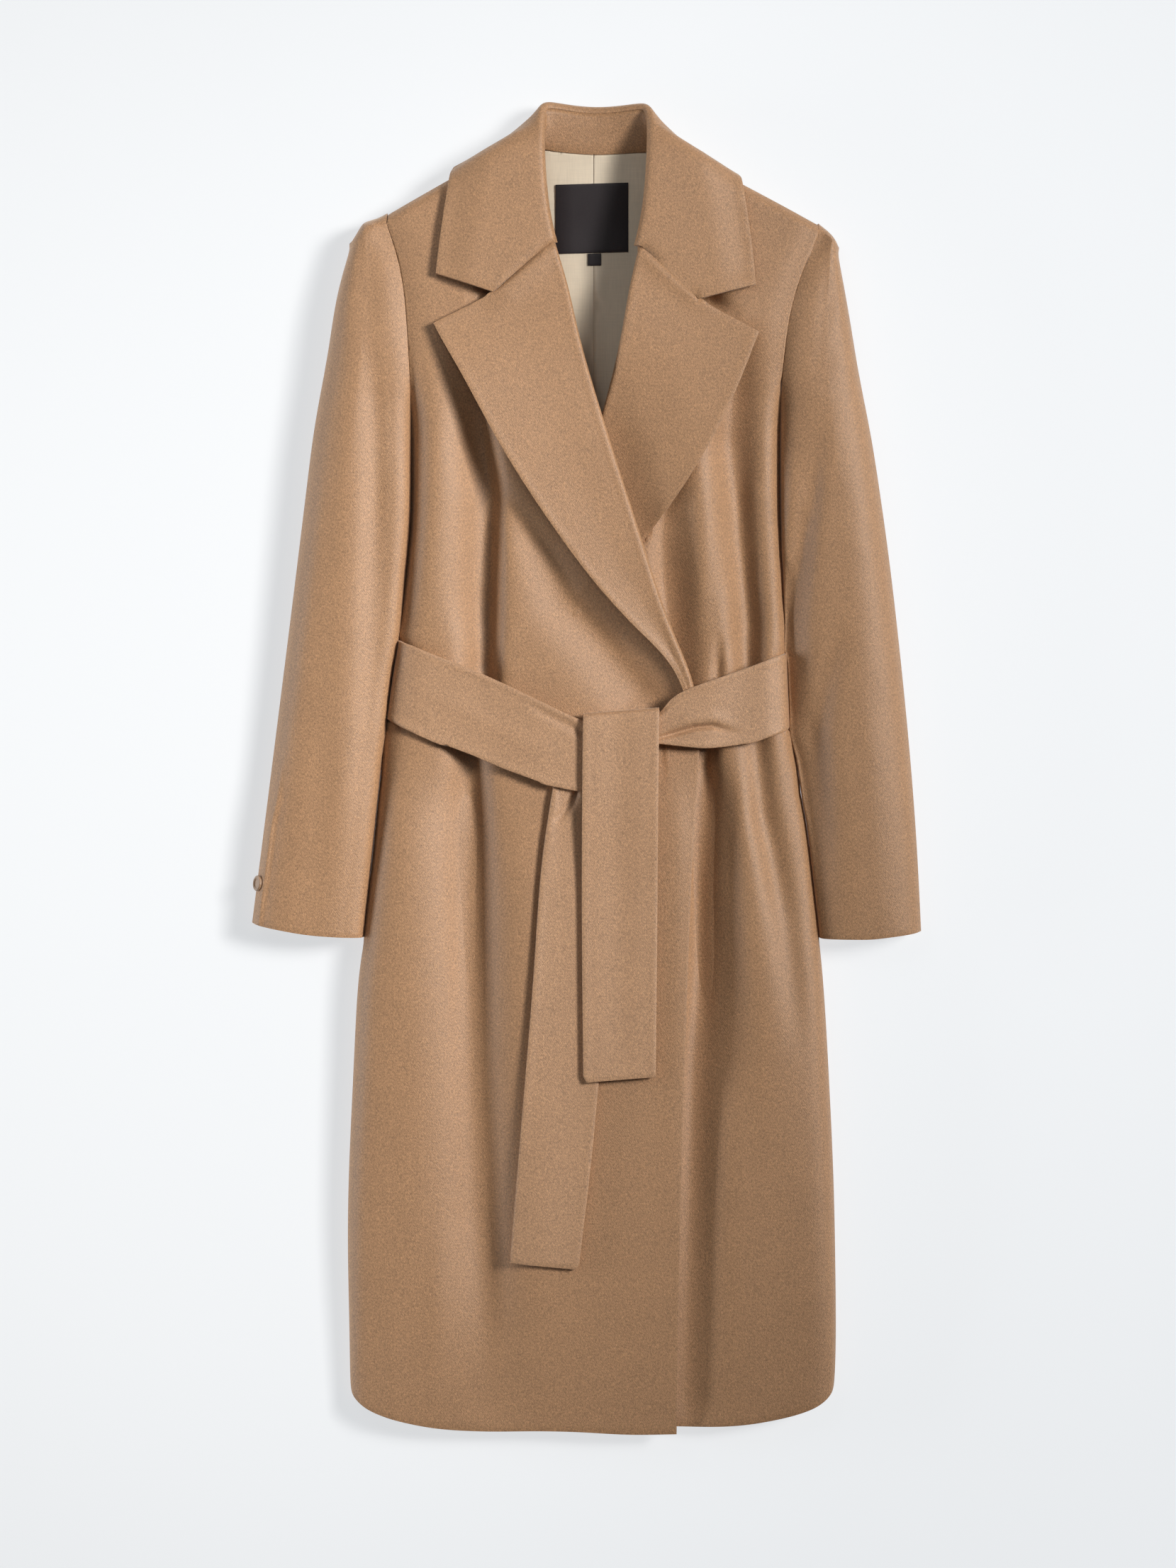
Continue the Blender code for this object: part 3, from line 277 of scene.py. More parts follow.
SLEEVE_RIGHT = creases(
    [(-206, 420, 10, 14, 0), (-212, 300, 12, 16, 1), (-214, 200, 12, 18, 1.5), (-216, 130, 14, 20, 2),
     (-218, 50, 14, 26, 2), (-216, -40, 14, 22, 1.5), (-218, -105, 14, 20, 0.5), (-220, -160, 14, 20, 0)],
    [(-186, 380, 12, 12, 0), (-187, 330, 12, 13, -4.5), (-186, 242, 12, 13, -5), (-187, 166, 12, 13, -4),
     (-190, 110, 10, 12, -3), (-194, 40, 10, 12, -2), (-200, -60, 10, 12, 0)],
    # The sleeve head
    [(-189, 482, 12, 12, 0), (-193, 455, 14, 14, -2.6), (-194, 420, 14, 14, -3.4), (-192, 380, 14, 14, -2),
     (-190, 340, 14, 14, 0)],
)
SLEEVE_RIGHT_VENT = creases(
    [(-270, 10, 3.5, 3.5, 0), (-275, -29, 4, 3, 2.4), (-279.5, -47, 4, 3, 3.6), (-284, -80, 4, 3, 4.0),
     (-288.6, -114, 4, 3, 3.6), (-293, -149, 4, 3, 2.0)],
)
SLEEVE_LEFT = creases(
    [(208, 330, 14, 10, 0), (200, 242, 14, 9, -6), (193, 204, 14, 9, -8), (186, 166, 14, 10, -9),
     (180, 129, 12, 11, -9), (180, 90, 12, 15, -8), (184, 50, 10, 16, -7), (190, 0, 10, 16, -7),
     (198, -60, 10, 15, -5), (205, -150, 10, 14, -3)],
    [(228, 130, 10, 10, 0), (216, 93, 12, 10, -4), (209, 60, 12, 10, -6), (205, 30, 12, 10, -7),
     (206, -10, 12, 12, -5), (210, -60, 12, 12, -2), (214, -110, 12, 12, 0)],
    [(236, 300, 16, 16, 0), (240, 200, 18, 16, 2), (246, 100, 20, 18, 2), (250, 0, 20, 18, 2),
     (254, -120, 20, 18, 1)],
    # The sleeve head
    [(213, 484, 10, 10, 0), (215, 465, 12, 12, -3.4), (216, 440, 14, 14, -4.6), (215, 410, 14, 14, -3.6),
     (212, 370, 14, 14, -1.6), (210, 330, 14, 14, 0)],
)
TAIL_FRONT = creases(
    [(28, 60, 16, 14, -1.5), (29, -100, 18, 14, -2), (29, -240, 18, 14, -1.2), (28, -290, 18, 14, 0)],
)

# ---------------------------------------------------------------- cloth


WELD = 1e-6  # metres
JOIN_BEND = math.radians(40)  # two triangles become a quad if they bend less than this
JOIN_SKEW = math.radians(60)  # and if the quad's corners are less askew than this
CUT_EDGE = math.radians(50)  # the cloth's cut edges are bent by more than this
STRAIGHT = math.radians(155)  # where the rim's stretches meet at less than this, it has a corner


def joined(node):
    """The node's own mesh with its doubled points welded and its triangles joined back into quads."""
    mesh = bmesh.new()
    mesh.from_mesh(nodes[node].data)
    bmesh.ops.remove_doubles(mesh, verts=mesh.verts, dist=WELD)
    bmesh.ops.join_triangles(
        mesh, faces=mesh.faces, angle_face_threshold=JOIN_BEND, angle_shape_threshold=JOIN_SKEW
    )
    return mesh


def smooth_copy(node, levels, bevel):
    """A finer copy of the node: the cloth subdivided, its cut edges and corners kept and then rounded."""
    mesh = joined(node)
    crease = mesh.edges.layers.float.new("crease_edge")
    corner = mesh.verts.layers.float.new("crease_vert")
    for edge in mesh.edges:
        if len(edge.link_faces) == 2 and edge.calc_face_angle(0) > CUT_EDGE:
            edge[crease] = 1
    for vert in mesh.verts:
        rim = [edge for edge in vert.link_edges if edge[crease] == 1]
        # Three such edges meet at a corner. The shortest one crosses the cloth, the others run along the rim
        shortest = min((edge.calc_length() for edge in rim), default=0)
        along = [edge for edge in rim if edge.calc_length() > 1.2 * shortest]
        if len(along) == 2:
            first, second = ((edge.other_vert(vert).co - vert.co).normalized() for edge in along)
            if first.dot(second) > math.cos(STRAIGHT):
                vert[corner] = 1
    data = bpy.data.meshes.new(node)
    mesh.to_mesh(data)
    mesh.free()
    made = bpy.data.objects.new("cloth_" + node, data)
    bpy.context.scene.collection.objects.link(made)
    finer = made.modifiers.new("finer", "SUBSURF")
    finer.levels = finer.render_levels = levels
    finer.boundary_smooth = "PRESERVE_CORNERS"
    rounder = made.modifiers.new("rounder", "BEVEL")
    rounder.width = bevel * MM
    rounder.segments = 2
    rounder.limit_method = "ANGLE"
    rounder.angle_limit = CUT_EDGE
    graph = bpy.context.evaluated_depsgraph_get()
    fine = bpy.data.meshes.new_from_object(made.evaluated_get(graph))
    made.modifiers.clear()
    made.data = fine
    fine.shade_smooth()
    return made


def points_of(obj):
    """The mesh's points in millimetres, one row each."""
    points = np.empty(len(obj.data.vertices) * 3, np.float32)
    obj.data.vertices.foreach_get("co", points)
    return points.reshape(-1, 3).astype(float) / MM


def put_points(obj, points):
    obj.data.vertices.foreach_set("co", (points * MM).astype(np.float32).ravel())
    obj.data.update()


def raise_by(obj, relief, mask):
    """Moves the cloth up or down by the relief, where the mask of x, y and z lets it."""
    points = points_of(obj)
    x, y, z = points.T
    points[:, 2] += relief(x, y) * mask(x, y, z)
    put_points(obj, points)


def tree_of(objects):
    """The objects' faces as one tree for rays and nearest points."""
    verts, faces = [], []
    for obj in objects:
        start = len(verts)
        verts.extend(tuple(v.co) for v in obj.data.vertices)
        faces.extend([start + k for k in poly.vertices] for poly in obj.data.polygons)
    return BVHTree.FromPolygons(verts, faces)


def press_under(lower, uppers, gap=0.4, reach=26.0):
    """Lowers the cloth to a gap under the pieces that lie on it, if those are at most reach lower."""
    tree = tree_of(uppers)
    points = points_of(lower)
    low = np.min([points_of(u).min(0) for u in uppers], axis=0)
    high = np.max([points_of(u).max(0) for u in uppers], axis=0)
    inside = np.all((points[:, :2] > low[:2]) & (points[:, :2] < high[:2]), axis=1)
    for k in np.nonzero(inside)[0]:
        x, y, z = points[k]
        hit = tree.ray_cast(Vector((x, y, z - reach)) * MM, Vector((0, 0, 1)), (reach + gap) * MM)
        if hit[0] is not None:
            points[k, 2] = min(z, hit[0].z / MM - gap)
    put_points(lower, points)


ROW = 12.0  # millimetres of y for each point of a piece's side


def side_of(obj, side):
    """The piece's outermost points, as y and x. Side is -1 for the image's left and 1 for its right."""
    points = points_of(obj)
    rows = np.floor(points[:, 1] / ROW).astype(int)
    outer = [max(np.nonzero(rows == row)[0], key=lambda k: side * points[k, 0]) for row in np.unique(rows)]
    rim = points[outer]
    rim = rim[np.argsort(rim[:, 1])]
    return rim[:, 1], rim[:, 0]


TIGHT_UP_TO = 300
TIGHT_END = 420


def spread(obj, side, rows, width, tight=1.0):
    """Moves a side of the piece outward by the rows' (y, distance), faded over width.

    A tight above 1 also draws the points near the side outward, which makes its bend tighter. That fades out
    between the y of TIGHT_UP_TO and TIGHT_END.
    """
    where, distance = np.array(sorted(rows), float).T
    levels, edge = side_of(obj, side)
    points = points_of(obj)
    x, y, z = points.T
    rim = np.interp(y, levels, edge)
    inside = np.clip(side * (rim - x), 0, None)
    if tight > 1:
        below = 1 - ease(TIGHT_UP_TO, TIGHT_END, y)
        bent = np.where(inside < width, width * (inside / width) ** tight, inside)
        inside = inside + (bent - inside) * below
        x = rim - side * inside
    points[:, 0] = x + side * np.interp(y, where, distance, left=0, right=0) * (1 - ease(0, width, inside))
    put_points(obj, points)


def bulge(obj, side, size, level=9.0, depth=4.0, low=-150, high=200):
    """Pushes a sleeve's side out under its neighbour, so that no floor shows between the two.

    It is pushed by size at the height level, less within depth above and below, and from y low to y high.
    """
    levels, edge = side_of(obj, side)
    points = points_of(obj)
    x, y, z = points.T
    near = 1 - ease(0, 20, side * (np.interp(y, levels, edge) - x))
    span = ease(low - 40, low, y) * (1 - ease(high, high + 80, y))
    points[:, 0] += side * size * np.exp(-(((z - level) / depth) ** 2)) * near * span
    put_points(obj, points)


def shift(obj, move):
    """Moves points by what move(x, y, z) gives for x, y and z."""
    points = points_of(obj)
    put_points(obj, points + np.stack(np.broadcast_arrays(*move(*points.T)), axis=1))


def snug(obj, others, reach, gap=0.06):
    """Draws the rim of a piece up to the pieces that it is sewn to."""
    tree = tree_of(others)
    points = points_of(obj)
    low = np.min([points_of(other).min(0) for other in others], axis=0) - reach
    high = np.max([points_of(other).max(0) for other in others], axis=0) + reach
    near = np.all((points > low) & (points < high), axis=1)
    for k in np.nonzero(near)[0]:
        hit = tree.find_nearest(Vector(points[k]) * MM, reach * MM)
        if hit[0] is not None:
            away = np.array(hit[0]) / MM - points[k]
            length = max(np.linalg.norm(away), 1e-6)
            points[k] += away * max(length - gap, 0) / length * (1 - ease(0.6 * reach, reach, length))
    put_points(obj, points)


def round_corners(obj, axis, side, radius):
    """Rounds the two corners at one end of a strap: axis 0 is an end in x, axis 1 an end in y."""
    points = points_of(obj)
    along, across = points[:, axis], points[:, 1 - axis]
    end = side * np.max(side * along)
    last = np.abs(end - along) < 2.5 * radius
    middle = (across[last].max() + across[last].min()) / 2
    half = (across[last].max() - across[last].min()) / 2
    over = np.clip(radius - np.abs(end - along), 0, radius)
    cut = np.where(last, radius - np.sqrt(radius**2 - over**2), 0)
    points[:, 1 - axis] = middle + (across - middle) * (1 - cut / half)
    put_points(obj, points)


RIM_NORMAL = 0.4  # a normal's z under this is on a cut edge
TOP_NORMAL = 0.6  # and above this on the upper face


def edge_roll(obj, height=0.45, away=3.2, width=2.2):
    """A low ridge inside the piece's edges, where the seam allowance is turned in."""
    count = len(obj.data.vertices)
    normals = np.empty(count * 3, np.float32)
    obj.data.vertex_normals.foreach_get("vector", normals)
    normals = normals.reshape(-1, 3)
    points = points_of(obj)
    rim = np.nonzero(np.abs(normals[:, 2]) < RIM_NORMAL)[0]
    tree = KDTree(len(rim))
    for k in rim:
        tree.insert(points[k], int(k))
    tree.balance()
    for k in np.nonzero(normals[:, 2] > TOP_NORMAL)[0]:
        distance = tree.find(points[k])[2]
        if distance < away + 3 * width:
            points[k, 2] += height * math.exp(-(((distance - away) / width) ** 2))
    put_points(obj, points)


def wear(obj, node, finish):
    """Gives the piece its finish, hides the node that it stands for and hangs the piece under the root."""
    obj.data.materials.clear()
    obj.data.materials.append(finish)
    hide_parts(node)
    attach(obj, "root")


# Height of the coat's upper layer, as (y, z)
CROWN = [
    (-592, 25), (-450, 33), (-250, 37), (-60, 38), (60, 36),
    (160, 41), (300, 46), (420, 43), (487, 36), (560, 33),
]


def upper_part(x, y, z):
    """1 on the coat's upper layer, 0 down at its side seams and at the hem."""
    crown = np.interp(y, *np.array(CROWN, float).T)
    return ease(0.5, 0.82, z / crown) * ease(-600, -560, y)


def everywhere(x, y, z):
    """The mask of a relief that moves the whole piece."""
    return 1.0


WOOL_ROUND = 0.9  # how far a cut edge is rounded, in millimetres
THIN_ROUND = 0.3

PIECES = {}
# Each piece of cloth: its node, how often it is subdivided, its finish and the slot of that
for node, levels, finish, slot in (
    ("front_right", 3, CAMEL, "camel_wool"),
    ("front_left", 3, CAMEL, "camel_wool"),
    ("back", 2, CAMEL, "camel_wool"),
    ("sleeve_top_right", 3, CAMEL, "camel_wool"),
    ("sleeve_under_right", 2, CAMEL, "camel_wool"),
    ("sleeve_top_left", 3, CAMEL, "camel_wool"),
    ("sleeve_under_left", 2, CAMEL, "camel_wool"),
    ("lapel_right", 3, CAMEL, "camel_wool"),
    ("lapel_left", 3, CAMEL, "camel_wool"),
    ("collar_fall", 2, CAMEL, "camel_wool"),
    ("collar_stand", 2, CAMEL, "camel_wool"),
    ("belt_right", 3, BELT_WOOL_PAINTED_LIGHTER, "belt_wool"),
    ("belt_left", 3, BELT_WOOL_PAINTED_LIGHTER, "belt_wool"),
    ("belt_back", 2, BELT_WOOL_PAINTED_LIGHTER, "belt_wool"),
    ("belt_knot", 2, BELT_WOOL_PAINTED_LIGHTER, "belt_wool"),
    ("belt_tail_front", 3, BELT_WOOL_PAINTED_LIGHTER, "belt_wool"),
    ("belt_tail_behind", 3, BELT_WOOL_PAINTED_LIGHTER, "belt_wool"),
    ("lining_right", 3, LINING, "cream_lining"),
    ("lining_left", 3, LINING, "cream_lining"),
):
    bevel = THIN_ROUND if finish is LINING else WOOL_ROUND
    PIECES[node] = smooth_copy(node, levels, bevel)
    wear(PIECES[node], node, finish)
for node in ("label_main", "label_size"):
    PIECES[node] = smooth_copy(node, 2, THIN_ROUND)
    wear(PIECES[node], node, LABEL)

# How far the sides of the body, belt and sleeves move where they lie together, as (y, distance outward)
BODY_RIGHT = [
    (400, 0), (330, -0.9), (290, -1.8), (270, -2.2), (250, -2.8), (230, -3.2), (210, -3.1), (190, -2.4),
    (170, -1.9), (150, -0.6), (130, 1.5), (119, 4.2), (110, 1.4), (100, 0), (90, 0), (52, 2.4), (45, 6.0),
    (41, 8.2), (30, 7.6), (10, 4.2), (-10, 2.1), (-50, 1.7), (-110, 1.7), (-130, 1.2), (-160, 0),
]
SLEEVE_RIGHT_IN = [
    (400, 0), (330, 1.6), (290, 2.2), (270, 2.9), (250, 3.9), (230, 4.9), (210, 5.4), (190, 5.4), (170, 5.1),
    (150, 5.5), (130, 5.8), (116, 5.8), (104, 4.6), (90, 2.5), (70, 1.6), (50, 1.4), (36, 1.6), (26, 1.0),
    (10, 0),
]
BELT_RIGHT = [(120, -1.9), (110, -1.8), (100, -0.9), (90, 0.1), (70, 1.8), (50, 3.1), (43, 3.6), (20, 3.6)]
BELT_LEFT = [(130, 0), (0, 0)]
BODY_LEFT = [
    (220, 0), (150, 1.6), (130, 3.0), (110, 4.6), (102, 4.6), (94, 1.0), (42, 1.0), (34, 5.8), (26, 6.2),
    (18, 5.0), (2, 3.6), (-24, 0),
]
SLEEVE_LEFT_IN = [
    (330, 0), (250, 0.9), (210, 2.0), (190, 2.8), (170, 2.8), (150, 3.9), (130, 4.6), (114, 7.2), (106, 8.2),
    (100, 5.4), (90, 5.8), (70, 6.8), (50, 8.0), (36, 10.0), (30, 10.6), (20, 8.2), (10, 6.2), (-10, 5.1),
    (-30, 4.6), (-50, 2.7), (-70, 2.2), (-90, 1.8), (-110, 1.4), (-130, 0.9), (-150, 0.4), (-170, 0),
]
# Rows that leave a side where it is, for a spread that only makes its bend tighter
IN_PLACE = [(600, 0), (-400, 0)]

BELT_LEFT_FOLDS = creases(
    [(60, 26, 1.6, 1.6, -1), (78, 31, 2.2, 2.2, -4), (95, 36, 2.2, 2.2, -5), (112, 37.5, 2.2, 2.2, -4),
     (128, 33, 2.2, 2.2, -1.5), (140, 31, 2, 2, 0)],
    [(66, 36, 5, 5, 0.4), (90, 43, 6, 6, 1.6), (112, 45, 6, 6, 1.6), (134, 40, 6, 6, 0)],
    [(64, 50, 3, 3, -2.5), (75, 60, 4, 4, -3), (90, 67, 5, 5, -1.2), (106, 71, 5, 5, 0)],
)
BELT_RIGHT_FOLDS = creases(
    [(-52, 60, 4, 4, 0), (-40, 50, 4, 4, -1.2), (-20, 40, 4, 4, -1.6), (-4, 32, 4, 4, -2)],
    [(-150, 70, 8, 8, 0), (-110, 52, 10, 10, 0.8), (-60, 26, 10, 10, 0.8), (-20, 10, 8, 8, 0)],
)
TAIL_BEHIND = creases(
    [(-7, -16, 3, 3, -2.5), (-13, -30, 3.5, 3.5, -3.2), (-22, -42, 4, 4, -2.2), (-36, -52, 5, 5, 0)],
    [(-28, -26, 5, 5, 1.2), (-32, -60, 6, 6, 1.0), (-34, -120, 6, 6, 0)],
)

# Each side that moves: the piece, the side, the rows, the width that they fade over and its bend's tightness
for node, side, rows, width, tight in (
    ("front_right", -1, BODY_RIGHT, 26, 1), ("back", -1, BODY_RIGHT, 26, 1),
    ("belt_right", -1, BELT_RIGHT, 16, 1.6), ("belt_back", -1, BELT_RIGHT, 16, 1),
    ("front_left", 1, BODY_LEFT, 26, 1), ("back", 1, BODY_LEFT, 26, 1), ("belt_left", 1, BELT_LEFT, 14, 1.5),
    ("sleeve_top_left", -1, SLEEVE_LEFT_IN, 40, 1), ("sleeve_under_left", -1, SLEEVE_LEFT_IN, 40, 1),
    ("sleeve_top_right", 1, SLEEVE_RIGHT_IN, 40, 1), ("sleeve_under_right", 1, SLEEVE_RIGHT_IN, 40, 1),
):
    spread(PIECES[node], side, rows, width, tight)
spread(PIECES["sleeve_top_right"], 1, IN_PLACE, 18, 1.7)
spread(PIECES["sleeve_top_left"], -1, IN_PLACE, 18, 1.7)
bulge(PIECES["sleeve_under_right"], 1, 2.6)
bulge(PIECES["sleeve_under_left"], -1, 2.6)
# Once more beside the belt
bulge(PIECES["sleeve_under_right"], 1, 3.0, low=50, high=100)
bulge(PIECES["sleeve_under_left"], -1, 3.0, low=45, high=90)

NECK_UP = 2.6  # the neck's pieces move up the image by this, to their places in the photo
NECK_START = 535
NECK_END = 585


def collar_up(x, y, z):
    return 0, NECK_UP * ease(NECK_START, NECK_END, y), 0


def stand_up(x, y, z):
    """The stand moves with the collar. Its top edge moves on and rises, and its lower edge sinks."""
    top = ease(560, 579, y)
    lower = 1 - ease(548, 556, y)
    return 0, NECK_UP * ease(NECK_START, NECK_END, y) + 2.5 * top, 0.6 * top - 1.1 * lower


def lining_up(x, y, z):
    return 0, 2.7 * ease(525, 542, y), 0.5 * ease(535, 545, y)


def label_up(x, y, z):
    """The labels move up, a little more towards the wearer's left."""
    return 0, NECK_UP + 0.03 * x, 0


for node, move in (
    ("collar_fall", collar_up), ("collar_stand", stand_up),
    ("lining_right", lining_up), ("lining_left", lining_up),
    ("label_main", label_up), ("label_size", label_up),
):
    shift(PIECES[node], move)

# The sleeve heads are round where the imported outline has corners. The right one's side moves by (y, distance
# outward), and each one's corner as (pieces, x, y, reach, dx, dy)
HEAD_RIGHT = [(496, 0), (480, 1.6), (465, 2.0), (440, 1.9), (400, 1.0), (350, 0)]
HEADS = [
    (("sleeve_top_right", "sleeve_under_right"), -198, 485, 11, -1.6, 2.8),
    (("sleeve_top_left", "sleeve_under_left"), 221, 471, 9, 1.8, 0.8),
]
for node in HEADS[0][0]:
    spread(PIECES[node], -1, HEAD_RIGHT, 30)
for heads, middle_x, middle_y, reach, dx, dy in HEADS:

    def head_push(x, y, z):
        push = np.exp(-((x - middle_x) ** 2 + (y - middle_y) ** 2) / reach**2)
        return push * dx, push * dy, 0

    for node in heads:
        shift(PIECES[node], head_push)

round_corners(PIECES["belt_left"], 0, 1, 5)
round_corners(PIECES["belt_tail_front"], 1, -1, 4)
round_corners(PIECES["belt_tail_behind"], 1, -1, 4)
for node in (
    "belt_right", "belt_left", "belt_tail_front", "belt_tail_behind",
    "lapel_right", "lapel_left", "collar_fall",
):
    edge_roll(PIECES[node])

# The right lapel's roll line, as (y, x)
ROLL_LINE = [
    (60, 88), (92, 78), (129, 68), (166, 58), (204, 50),
    (242, 31), (290, 20), (330, 5), (400, -18), (480, -40),
]
LAPEL_RISE = 0.08  # for each millimetre away from the roll line
LAPEL_DIP = 6
DIP_WIDTH = 22


def lapel_rise(x, y):
    """The right lapel stands up towards its outer edge."""
    rows, roll = np.array(ROLL_LINE, float).T
    return LAPEL_RISE * np.clip(np.interp(y, rows, roll) - x, 0, None)


def left_lapel_dip(x, y):
    """The left lapel sinks towards the right one, which lies on it."""
    rows, roll = np.array(ROLL_LINE, float).T
    away = np.clip(x - np.interp(y, rows, roll), 0, None)
    return -LAPEL_DIP * np.exp(-((away / DIP_WIDTH) ** 2))


# The lapels' upper edges come up to the collar along the gorge
GORGE_RIGHT = creases(
    [(-18, 476, 12, 12, 3.0), (-31, 462, 12, 12, 3.4), (-72, 421, 12, 12, 3.2), (-90, 404, 10, 10, 0)],
)
GORGE_LEFT = creases(
    [(36, 476, 12, 12, 3.0), (49, 462, 12, 12, 3.4), (97, 421, 12, 12, 3.2), (118, 404, 10, 10, 0)],
)
STAND_SEAM = creases(
    [(-50, 583, 1.6, 1.6, -1.0), (-34, 580.5, 1.6, 1.6, -1.2), (0, 577.5, 1.6, 1.6, -1.2),
     (36, 579.5, 1.6, 1.6, -1.2), (52, 582, 1.6, 1.6, -1.0)],
)
# The collar's outer edges, as (y, x on the right, x on the left)
COLLAR_EDGES = [(430, -135, 150), (445, -133.5, 148), (480, -127.5, 142), (500, -124, 139), (525, -119, 134)]
COLLAR_DROP = 5.5


def collar_drop(x, y):
    """The collar's outer edges lie down on the fronts."""
    rows, right, left = np.array(COLLAR_EDGES, float).T
    inside = np.minimum(x - np.interp(y, rows, right), np.interp(y, rows, left) - x)
    return -COLLAR_DROP * (1 - ease(0, 34, inside)) * ease(415, 440, y)


raise_by(PIECES["collar_fall"], collar_drop, lambda x, y, z: ease(20, 30, z))
raise_by(PIECES["lapel_right"], GORGE_RIGHT, everywhere)
raise_by(PIECES["lapel_left"], GORGE_LEFT, everywhere)
raise_by(PIECES["collar_stand"], STAND_SEAM, everywhere)
raise_by(PIECES["lapel_right"], lapel_rise, lambda x, y, z: 1 - ease(330, 410, y))
raise_by(PIECES["lapel_left"], left_lapel_dip, lambda x, y, z: 1 - ease(270, 340, y))
raise_by(PIECES["belt_left"], BELT_LEFT_FOLDS, lambda x, y, z: ease(150, 120, x))
raise_by(PIECES["belt_right"], BELT_RIGHT_FOLDS, everywhere)
raise_by(PIECES["belt_tail_behind"], TAIL_BEHIND, everywhere)
raise_by(PIECES["front_right"], lambda x, y: SKIRT_RIGHT(x, y) + CHEST_RIGHT(x, y), upper_part)
raise_by(PIECES["front_left"], lambda x, y: SKIRT_LEFT(x, y) + CHEST_LEFT(x, y), upper_part)
raise_by(PIECES["sleeve_top_right"], SLEEVE_RIGHT, upper_part)
raise_by(PIECES["sleeve_top_right"], SLEEVE_RIGHT_VENT, lambda x, y, z: ease(0.2, 0.5, z / 38))
raise_by(PIECES["sleeve_top_left"], SLEEVE_LEFT, upper_part)
raise_by(PIECES["belt_tail_front"], TAIL_FRONT, everywhere)

BELT_PARTS = [
    PIECES[name] for name in ("belt_right", "belt_left", "belt_knot", "belt_tail_front", "belt_tail_behind")
]
OVER_RIGHT = [PIECES["lapel_right"], PIECES["collar_fall"]]
OVER_LEFT = [PIECES["lapel_left"], PIECES["collar_fall"], PIECES["front_right"]]
press_under(PIECES["front_right"], BELT_PARTS + OVER_RIGHT)
press_under(PIECES["front_left"], BELT_PARTS + OVER_LEFT)

# Each piece, the pieces that it is drawn up to, and from how far away
for node, others, reach in (
    ("lapel_right", ("collar_fall",), 4.5),
    ("lapel_left", ("collar_fall",), 4.5),
    ("collar_fall", ("lapel_right", "lapel_left"), 2.0),
    ("collar_stand", ("collar_fall",), 3.0),
    ("lining_right", ("collar_stand",), 3.0),
    ("lining_left", ("collar_stand", "lining_right"), 3.0),
    ("front_right", ("sleeve_top_right",), 2.2),
    ("front_left", ("sleeve_top_left",), 2.2),
    ("sleeve_under_right", ("sleeve_top_right",), 2.0),
    ("sleeve_under_left", ("sleeve_top_left",), 2.0),
    ("back", ("front_right", "front_left"), 2.0),
):
    snug(PIECES[node], [PIECES[other] for other in others], reach)

# ---------------------------------------------------------------- button


def horn_button():
    """The CAD button stays and takes the horn's finish."""
    button = nodes["cuff_button_right"]
    button.data.materials.clear()
    button.data.materials.append(HORN)


horn_button()

# ---------------------------------------------------------------- floor, light and camera


GLOW = 0.665  # the floor's own light at x 0, which makes it white
GLOW_SLOPE = 0.15  # and its rise for each metre of x


def paper():
    """White paper that glows a little more towards the image's right."""
    made = Finish("paper", 0.8)
    made.shader.inputs["Base Color"].default_value = (0.33, 0.335, 0.34, 1)
    made.shader.inputs["Emission Color"].default_value = (0.95, 0.975, 1.0, 1)
    across = made.add("ShaderNodeSeparateXYZ")
    made.join(made.place, across.inputs[0])
    glow = made.math("ADD", made.math("MULTIPLY", across.outputs["X"], GLOW_SLOPE), GLOW)
    made.join(glow, made.shader.inputs["Emission Strength"])
    made.shader.inputs["Specular IOR Level"].default_value = 0.1
    return made.made


FLOOR_HALF = 4.0  # metres
FLOOR_LEVEL = -0.0004


def floor():
    mesh = bpy.data.meshes.new("floor")
    corners = [(x, y, FLOOR_LEVEL) for x, y in ((-1, -1), (1, -1), (1, 1), (-1, 1))]
    mesh.from_pydata([(FLOOR_HALF * x, FLOOR_HALF * y, z) for x, y, z in corners], [], [(0, 1, 2, 3)])
    mesh.materials.append(paper())
    made = bpy.data.objects.new("floor", mesh)
    bpy.context.scene.collection.objects.link(made)


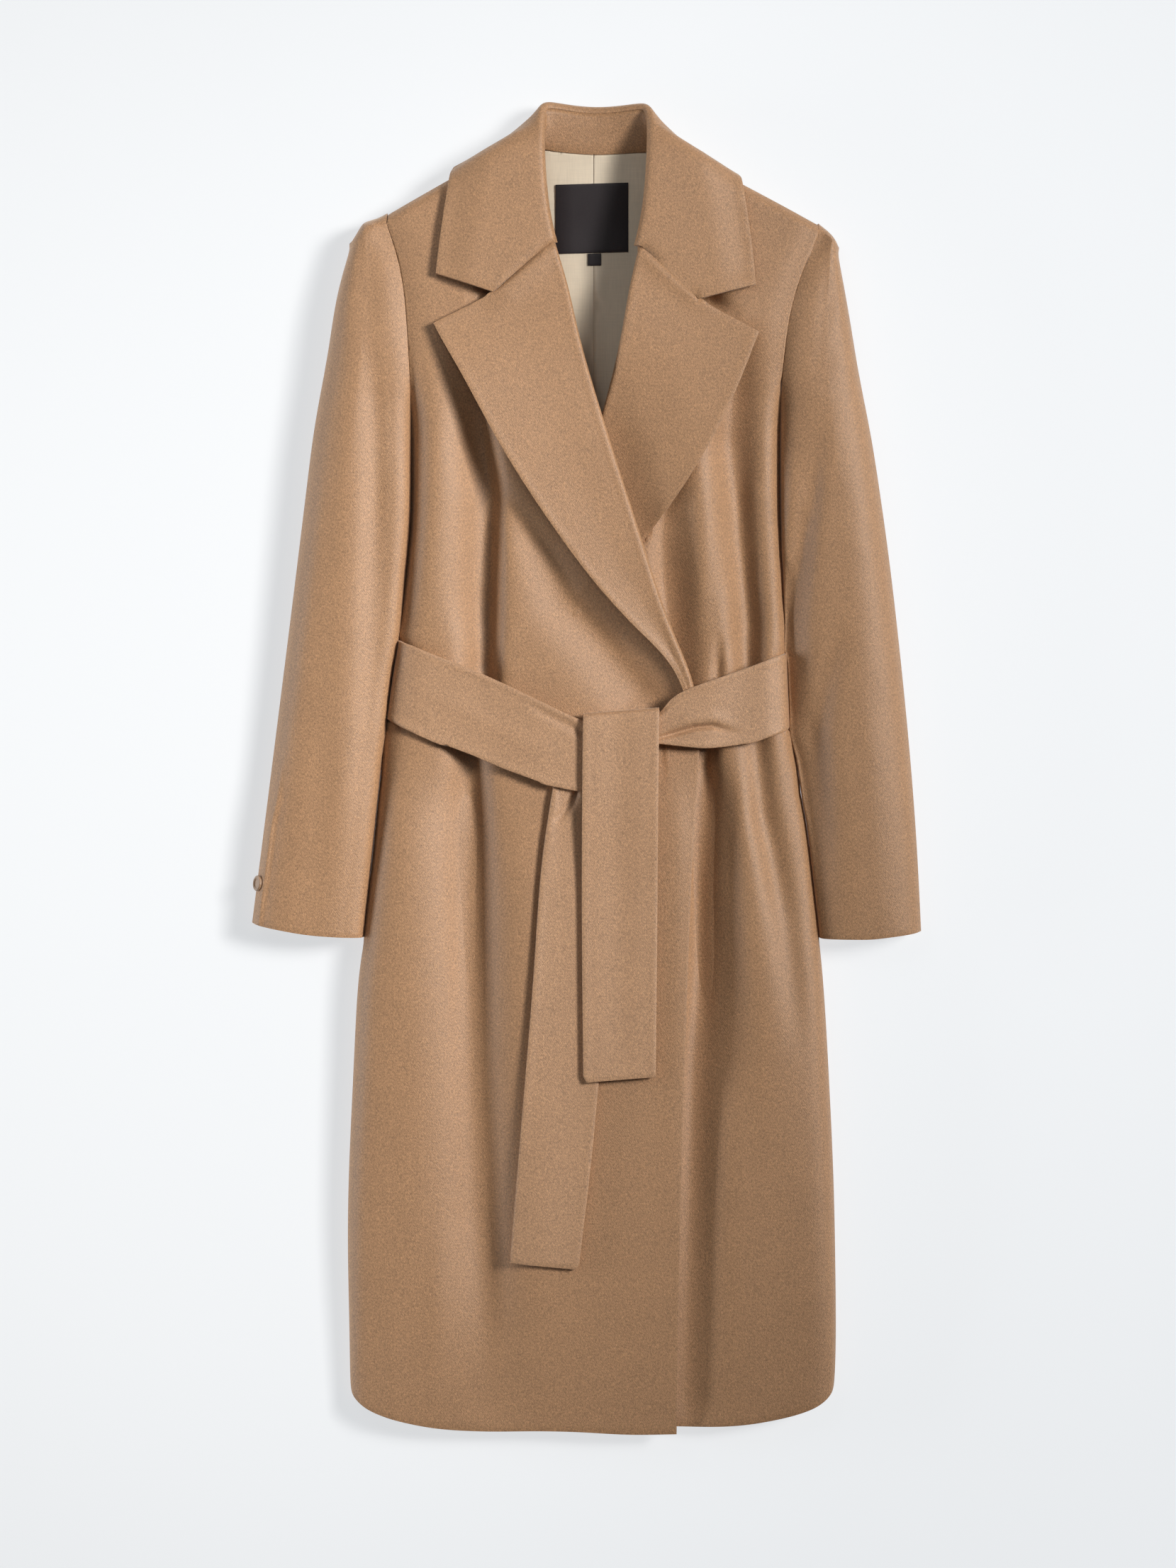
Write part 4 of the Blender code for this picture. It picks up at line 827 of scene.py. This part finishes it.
def lamp(name, place, target, size, power, colour, angle=180):
    """An area lamp: place, target and size in metres, power in watts, the angle of its beam in degrees."""
    light = bpy.data.lights.new(name, "AREA")
    light.shape = "RECTANGLE"
    light.size, light.size_y = size
    light.energy = power
    light.color = colour
    light.spread = math.radians(angle)
    made = bpy.data.objects.new(name, light)
    made.location = place
    made.rotation_euler = (Vector(target) - Vector(place)).to_track_quat("-Z", "Y").to_euler()
    bpy.context.scene.collection.objects.link(made)


def lights():
    """A key from the right, a fill from the upper left, a low rim from the left, and two small lamps."""
    lamp("key", (2.75, 1.05, 2.95), (-1.4, -0.12, 0), (1.3, 1.3), 19.9, (1.0, 0.985, 0.96), 40)
    lamp("fill", (-0.9, 1.3, 1.9), (-0.1, 0.2, 0), (1.1, 1.1), 4, (0.95, 0.98, 1.0))
    lamp("neck", (-0.2, 0.85, 1.2), (0.03, 0.49, 0), (0.4, 0.4), 0.07, (1.0, 0.98, 0.95), 36)
    lamp("hem", (-0.5, -0.9, 1.2), (-0.2, -0.56, 0), (0.4, 0.4), 0.06, (1.0, 0.98, 0.95), 36)
    lamp("rim", (-3.0, -0.1, 0.55), (0, 0, 0), (1.6, 0.4), 40, (0.97, 0.99, 1.0))
    world = bpy.context.scene.world or bpy.data.worlds.new("world")
    bpy.context.scene.world = world
    world.use_nodes = True
    sky = world.node_tree.nodes["Background"]
    sky.inputs["Color"].default_value = (0.93, 0.965, 1.0, 1)
    sky.inputs["Strength"].default_value = 0.08


CAMERA_LENS = 100.0
SENSOR = 36.0
FRAME_LONG = 1.394  # metres at the aim's height that the photo's long side covers
AIM = (1.44, -13.8, 26.0)  # straight under the camera


def camera():
    data = bpy.data.cameras.new("camera")
    data.lens = CAMERA_LENS
    data.sensor_width = SENSOR
    made = bpy.data.objects.new("camera", data)
    x, y, z = (value * MM for value in AIM)
    made.location = (x, y, z + FRAME_LONG * CAMERA_LENS / SENSOR)
    bpy.context.scene.collection.objects.link(made)
    bpy.context.scene.camera = made


floor()
lights()
camera()
bpy.context.scene.view_settings.view_transform = "Standard"
